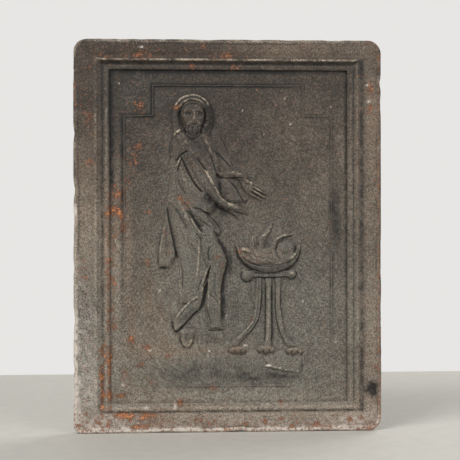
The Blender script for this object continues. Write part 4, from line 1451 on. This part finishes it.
class Nodes:
    """Short way to write a material's nodes."""

    def __init__(self, material):
        self.tree = material.node_tree
        self.tree.nodes.clear()

    def add(self, kind, inputs=None, **settings):
        """New node with settings, and inputs that are numbers or other nodes' outputs."""
        node = self.tree.nodes.new(kind)
        for name, value in settings.items():
            setattr(node, name, value)
        for name, value in (inputs or {}).items():
            if isinstance(value, bpy.types.NodeSocket):
                self.tree.links.new(value, node.inputs[name])
            else:
                node.inputs[name].default_value = value
        return node

    def math(self, operation, first, second=0.0, clamp=False):
        """Output of a sum, product or other operation on two numbers."""
        return self.add("ShaderNodeMath", {0: first, 1: second}, operation=operation,
                        use_clamp=clamp).outputs[0]

    def spread(self, value, low, high, to_low=0.0, to_high=1.0):
        """Value mapped from one range to another, with a smooth step."""
        return self.add("ShaderNodeMapRange", {"Value": value, "From Min": low, "From Max": high,
                                               "To Min": to_low, "To Max": to_high},
                        interpolation_type="SMOOTHSTEP").outputs["Result"]

    def vary(self, noise, low, high):
        """Noise mapped from the range in which it mostly lies to another."""
        return self.spread(noise, *NOISE_RANGE, low, high)

    def mix(self, share, first, second, blend="MIX"):
        """Colour between two colours; the numbers are the sockets of a colour mix."""
        return self.add("ShaderNodeMix", {0: share, 6: first, 7: second}, data_type="RGBA",
                        blend_type=blend).outputs[2]

    def noise(self, place, scale, detail, roughness):
        """Noise from 0 to 1 in the object's own space."""
        return self.add("ShaderNodeTexNoise", {"Vector": place, "Scale": scale, "Detail": detail,
                                               "Roughness": roughness}).outputs["Fac"]

    def weather(self, name):
        """One of the piece's weather attributes."""
        return self.add("ShaderNodeAttribute", attribute_name=name).outputs["Fac"]


@cache
def iron_material():
    """Patinated cast iron, made once: dark oxide that dries paler, mottled by sand grain, with soot in the
    hollows, rubbed edges, lime dust and two tones of rust."""
    finish = bpy.context.scene.stove_finish
    tone = {name: (*getattr(finish, name), 1.0) for name in FinishSettings.__annotations__}
    material = bpy.data.materials.new(SLOT)
    material.use_nodes = True
    n = Nodes(material)
    place = n.add("ShaderNodeTexCoord").outputs["Object"]
    grain, sand, mottle, bloom = (n.noise(place, *pattern) for pattern in (GRAIN, SAND, MOTTLE, BLOOM))

    drying = n.math("ADD", n.weather("paler"), n.vary(mottle, -0.1, 0.1))
    drying = n.math("ADD", drying, n.vary(grain, -0.08, 0.1), clamp=True)
    iron = n.mix(drying, tone["dark_iron"], tone["pale_iron"])
    cool = n.math("ADD", n.weather("cool"), n.vary(sand, -0.45, 0.45), clamp=True)
    cast = n.mix(cool, tone["warm_cast"], tone["cool_cast"])
    iron = n.mix(1.0, iron, cast, "MULTIPLY")
    speckle = n.math("MULTIPLY", n.vary(sand, 0.7, 1.3), n.vary(grain, 0.45, 1.45))
    iron = n.mix(1.0, iron, speckle, "MULTIPLY")
    dusty = n.math("ADD", n.weather("dust"), n.spread(bloom, 0.2, 0.8, -0.14, 0.14))
    dusty = n.spread(n.math("ADD", dusty, n.vary(grain, -0.18, 0.18)), 0.08, 1.12)
    iron = n.mix(dusty, iron, tone["dust"])
    rubbed = n.math("MULTIPLY", n.weather("bare"), n.spread(grain, 0.35, 0.65, 0.2, 1.25), clamp=True)
    iron = n.mix(rubbed, iron, tone["bare"])
    blister = n.math("ADD", n.weather("rust"), n.spread(bloom, 0.25, 0.75, -0.5, 0.5))
    blister = n.math("ADD", blister, n.vary(sand, -0.2, 0.2))
    rusty = n.spread(n.math("ADD", blister, n.vary(grain, -0.2, 0.2)), 0.3, 0.65)
    ripe = n.math("ADD", blister, n.vary(grain, -0.3, 0.3))
    rust = n.mix(n.spread(ripe, 0.58, 1.45), tone["dark_rust"], tone["bright_rust"])
    rust = n.mix(0.75, rust, n.math("MULTIPLY", speckle, 1.08), "MULTIPLY")
    iron = n.mix(n.math("MULTIPLY", rusty, 0.88), iron, rust)
    sooty = n.math("MULTIPLY", n.weather("soot"), n.spread(sand, 0.2, 0.8, 1.3, 0.75), clamp=True)
    iron = n.mix(sooty, iron, tone["soot"])

    roughness = n.math("ADD", n.spread(grain, 0.2, 0.8, 0.55, 0.72), n.math("MULTIPLY", rusty, 0.15))
    roughness = n.math("SUBTRACT", roughness, n.math("MULTIPLY", rubbed, 0.12), clamp=True)
    bumps = n.math("ADD", n.math("MULTIPLY", sand, 0.7), n.math("MULTIPLY", grain, 0.5))
    bumps = n.math("ADD", bumps, n.math("MULTIPLY", rusty, 0.25))
    bump = n.add("ShaderNodeBump", {"Strength": 0.55, "Distance": 0.0005, "Height": bumps}).outputs["Normal"]
    surface = n.add("ShaderNodeBsdfPrincipled", {"Base Color": iron, "Roughness": roughness, "Normal": bump,
                                                 "Metallic": 0.2, "Specular IOR Level": 0.4})
    n.add("ShaderNodeOutputMaterial", {"Surface": surface.outputs["BSDF"]})
    return material


# Operators

class StovePlateOperator:
    """What the plate's operators share."""
    bl_options = {"REGISTER", "UNDO"}


class STOVEPLATE_OT_board(StovePlateOperator, bpy.types.Operator):
    """Lay the board with its field and rough back"""
    bl_idname = "stoveplate.board"
    bl_label = "Board"

    def execute(self, context):
        points, faces = board_mesh()
        x, z = points[:, 0], points[:, 2]
        carving = relief()
        on_field = points[:, 1] < FIELD_Y + FACE_DEPTH
        hollow = carving.sample(carving.hollow, x, z)
        gaps = gaps_from(LEDGE_AT, x, z)
        ledge = np.clip(gaps.min(axis=0), 0, None) / FOOT_WIDTHS[gaps.argmin(axis=0)]
        hollow = np.maximum(hollow, step_dirt(x, z) * np.exp(-ledge ** 4))
        hollow = np.maximum(hollow, panel_dirt(x, z))
        face, back = weathering(x, z, hollow, np.zeros_like(x)), back_weathering(x, z)
        weather = {name: np.where(on_field, face[name], back[name]) for name in face}
        new_piece("back_plate", points, outward(points, faces), weather)
        return {"FINISHED"}


class STOVEPLATE_OT_border(StovePlateOperator, bpy.types.Operator):
    """Lay the four mitred bands of the border"""
    bl_idname = "stoveplate.border"
    bl_label = "Border"

    def execute(self, context):
        for side in SIDES:
            lay_profile(f"{side}_band", *band_mesh(side))
        return {"FINISHED"}


class STOVEPLATE_OT_mouldings(StovePlateOperator, bpy.types.Operator):
    """Lay the four mitred mouldings: bead, hollow and ledge"""
    bl_idname = "stoveplate.mouldings"
    bl_label = "Mouldings"

    def execute(self, context):
        for side in SIDES:
            lay_profile(f"{side}_moulding", *moulding_mesh(side))
        return {"FINISHED"}


class STOVEPLATE_OT_panel_line(StovePlateOperator, bpy.types.Operator):
    """Lay the thin eared line round the relief"""
    bl_idname = "stoveplate.panel_line"
    bl_label = "Panel line"

    def execute(self, context):
        lay_profile("panel_line", *panel_line_mesh(), closed=True)
        return {"FINISHED"}


class STOVEPLATE_OT_figure(StovePlateOperator, bpy.types.Operator):
    """Lay the hooded figure"""
    bl_idname = "stoveplate.figure"
    bl_label = "Figure"

    def execute(self, context):
        lay_relief(FIGURE)
        return {"FINISHED"}


class STOVEPLATE_OT_brazier(StovePlateOperator, bpy.types.Operator):
    """Lay the tripod brazier and its fire"""
    bl_idname = "stoveplate.brazier"
    bl_label = "Brazier"

    def execute(self, context):
        lay_relief(BRAZIER)
        return {"FINISHED"}


class STOVEPLATE_OT_ground(StovePlateOperator, bpy.types.Operator):
    """Lay the bank and the rock"""
    bl_idname = "stoveplate.ground"
    bl_label = "Ground"

    def execute(self, context):
        lay_relief(GROUND)
        return {"FINISHED"}


# Lamps of the stage, in metres and watts: name, place, size and power
LAMPS = (
    ("key", (-2.0, -2.2, 2.7), 1.7, 114),
    ("fill", (1.9, -2.2, 1.2), 1.8, 40),
    ("back", (1.8, 1.7, 2.0), 1.8, 46),
)
# Strength of the world's even light, how far the floor goes to the front and to the sides, in metres, and
# width of the camera's sensor, in millimetres
WORLD_LIGHT = 0.36
FLOOR_REACH = 6.0
SENSOR_WIDTH = 36


def floor_material(tint):
    """Plain matt floor with a faint mottle."""
    material = bpy.data.materials.new("pale_floor")
    material.use_nodes = True
    n = Nodes(material)
    place = n.add("ShaderNodeTexCoord").outputs["Object"]
    shade = n.vary(n.noise(place, *FLOOR_MOTTLE), 0.97, 1.03)
    surface = n.add("ShaderNodeBsdfPrincipled", {"Base Color": n.mix(1.0, (*tint, 1.0), shade, "MULTIPLY"),
                                                 "Roughness": 0.6, "Specular IOR Level": 0.2})
    n.add("ShaderNodeOutputMaterial", {"Surface": surface.outputs["BSDF"]})
    return material


def studio_world(backdrop, strength):
    """World that lights evenly, and that camera, glossy and clear rays see as an off-white backdrop."""
    world = bpy.data.worlds.new("studio")
    world.use_nodes = True
    n = Nodes(world)
    rays = n.add("ShaderNodeLightPath").outputs
    seen = n.math("ADD", rays["Is Camera Ray"], rays["Is Glossy Ray"], clamp=True)
    seen = n.math("ADD", seen, rays["Is Transmission Ray"], clamp=True)
    tint = n.mix(seen, (strength, strength, strength, 1.0), (*backdrop, 1.0))
    surface = n.add("ShaderNodeBackground", {"Color": tint})
    n.add("ShaderNodeOutputWorld", {"Surface": surface.outputs["Background"]})
    return world


def area_light(name, place, aim, size, power):
    """Square soft lamp that looks at a point."""
    light = bpy.data.lights.new(name, "AREA")
    light.size = size
    light.energy = power
    lamp = bpy.data.objects.new(name, light)
    bpy.context.scene.collection.objects.link(lamp)
    lamp.location = place
    direction = np.array(aim) - np.array(place)
    flat = math.hypot(direction[0], direction[1])
    lamp.rotation_euler = (math.pi / 2 + math.atan2(direction[2], flat), 0,
                           math.atan2(direction[1], direction[0]) - math.pi / 2)


def lay_floor(scene, stage):
    """Plain floor: one face that ends some way behind the plate."""
    right, far = FLOOR_REACH, stage.floor_behind
    corners = ((-right, -FLOOR_REACH, 0), (right, -FLOOR_REACH, 0), (right, far, 0), (-right, far, 0))
    mesh = bpy.data.meshes.new("floor")
    mesh.from_pydata(corners, [], [(0, 1, 2, 3)])
    mesh.materials.append(floor_material(stage.floor))
    floor = bpy.data.objects.new("floor", mesh)
    scene.collection.objects.link(floor)


def set_camera(scene, stage):
    """Camera level with the point it aims at, and turned a little to the left about it."""
    camera = bpy.data.cameras.new("camera")
    camera.lens = stage.lens
    camera.sensor_width = SENSOR_WIDTH
    eye = bpy.data.objects.new("camera", camera)
    scene.collection.objects.link(eye)
    eye.location = (stage.aim_right - stage.distance * math.sin(stage.side),
                    -stage.distance * math.cos(stage.side), MIDDLE * MM + stage.aim_up)
    eye.rotation_euler = (math.pi / 2, stage.roll, -stage.side)
    scene.camera = eye


class STOVEPLATE_OT_stage(StovePlateOperator, bpy.types.Operator):
    """Set the floor, backdrop, lights and camera"""
    bl_idname = "stoveplate.stage"
    bl_label = "Stage"

    def execute(self, context):
        scene = context.scene
        stage = scene.stove_stage
        lay_floor(scene, stage)
        for name, place, size, power in LAMPS:
            area_light(name, place, (0.0, 0.0, MIDDLE * MM), size, power)
        scene.world = studio_world(stage.backdrop, WORLD_LIGHT)
        set_camera(scene, stage)
        scene.view_settings.view_transform = "Standard"
        return {"FINISHED"}


BUILD_ORDER = ("board", "border", "mouldings", "panel_line", "figure", "brazier", "ground", "stage")


class STOVEPLATE_PT_panel(bpy.types.Panel):
    """Operators and settings of the stove plate"""
    bl_idname = "STOVEPLATE_PT_panel"
    bl_label = "Stove plate"
    bl_space_type = "VIEW_3D"
    bl_region_type = "UI"
    bl_category = "Stove plate"

    def draw(self, context):
        layout = self.layout
        for name in BUILD_ORDER:
            layout.operator(f"stoveplate.{name}")
        for group in (context.scene.stove_casting, context.scene.stove_finish, context.scene.stove_stage):
            box = layout.box()
            for name in group.__annotations__:
                box.prop(group, name)


CLASSES = (
    CastingSettings, FinishSettings, StageSettings, STOVEPLATE_OT_board, STOVEPLATE_OT_border,
    STOVEPLATE_OT_mouldings, STOVEPLATE_OT_panel_line, STOVEPLATE_OT_figure, STOVEPLATE_OT_brazier,
    STOVEPLATE_OT_ground, STOVEPLATE_OT_stage, STOVEPLATE_PT_panel,
)


def register():
    """Make the classes and the scene's settings known."""
    for item in CLASSES:
        bpy.utils.register_class(item)
    bpy.types.Scene.stove_casting = PointerProperty(type=CastingSettings)
    bpy.types.Scene.stove_finish = PointerProperty(type=FinishSettings)
    bpy.types.Scene.stove_stage = PointerProperty(type=StageSettings)


def unregister():
    """Take back what register made known."""
    del bpy.types.Scene.stove_stage
    del bpy.types.Scene.stove_finish
    del bpy.types.Scene.stove_casting
    for item in reversed(CLASSES):
        bpy.utils.unregister_class(item)


def main():
    """Build every piece and the stage."""
    register()
    for name in BUILD_ORDER:
        getattr(bpy.ops.stoveplate, name)()


if __name__ == "__main__":
    main()
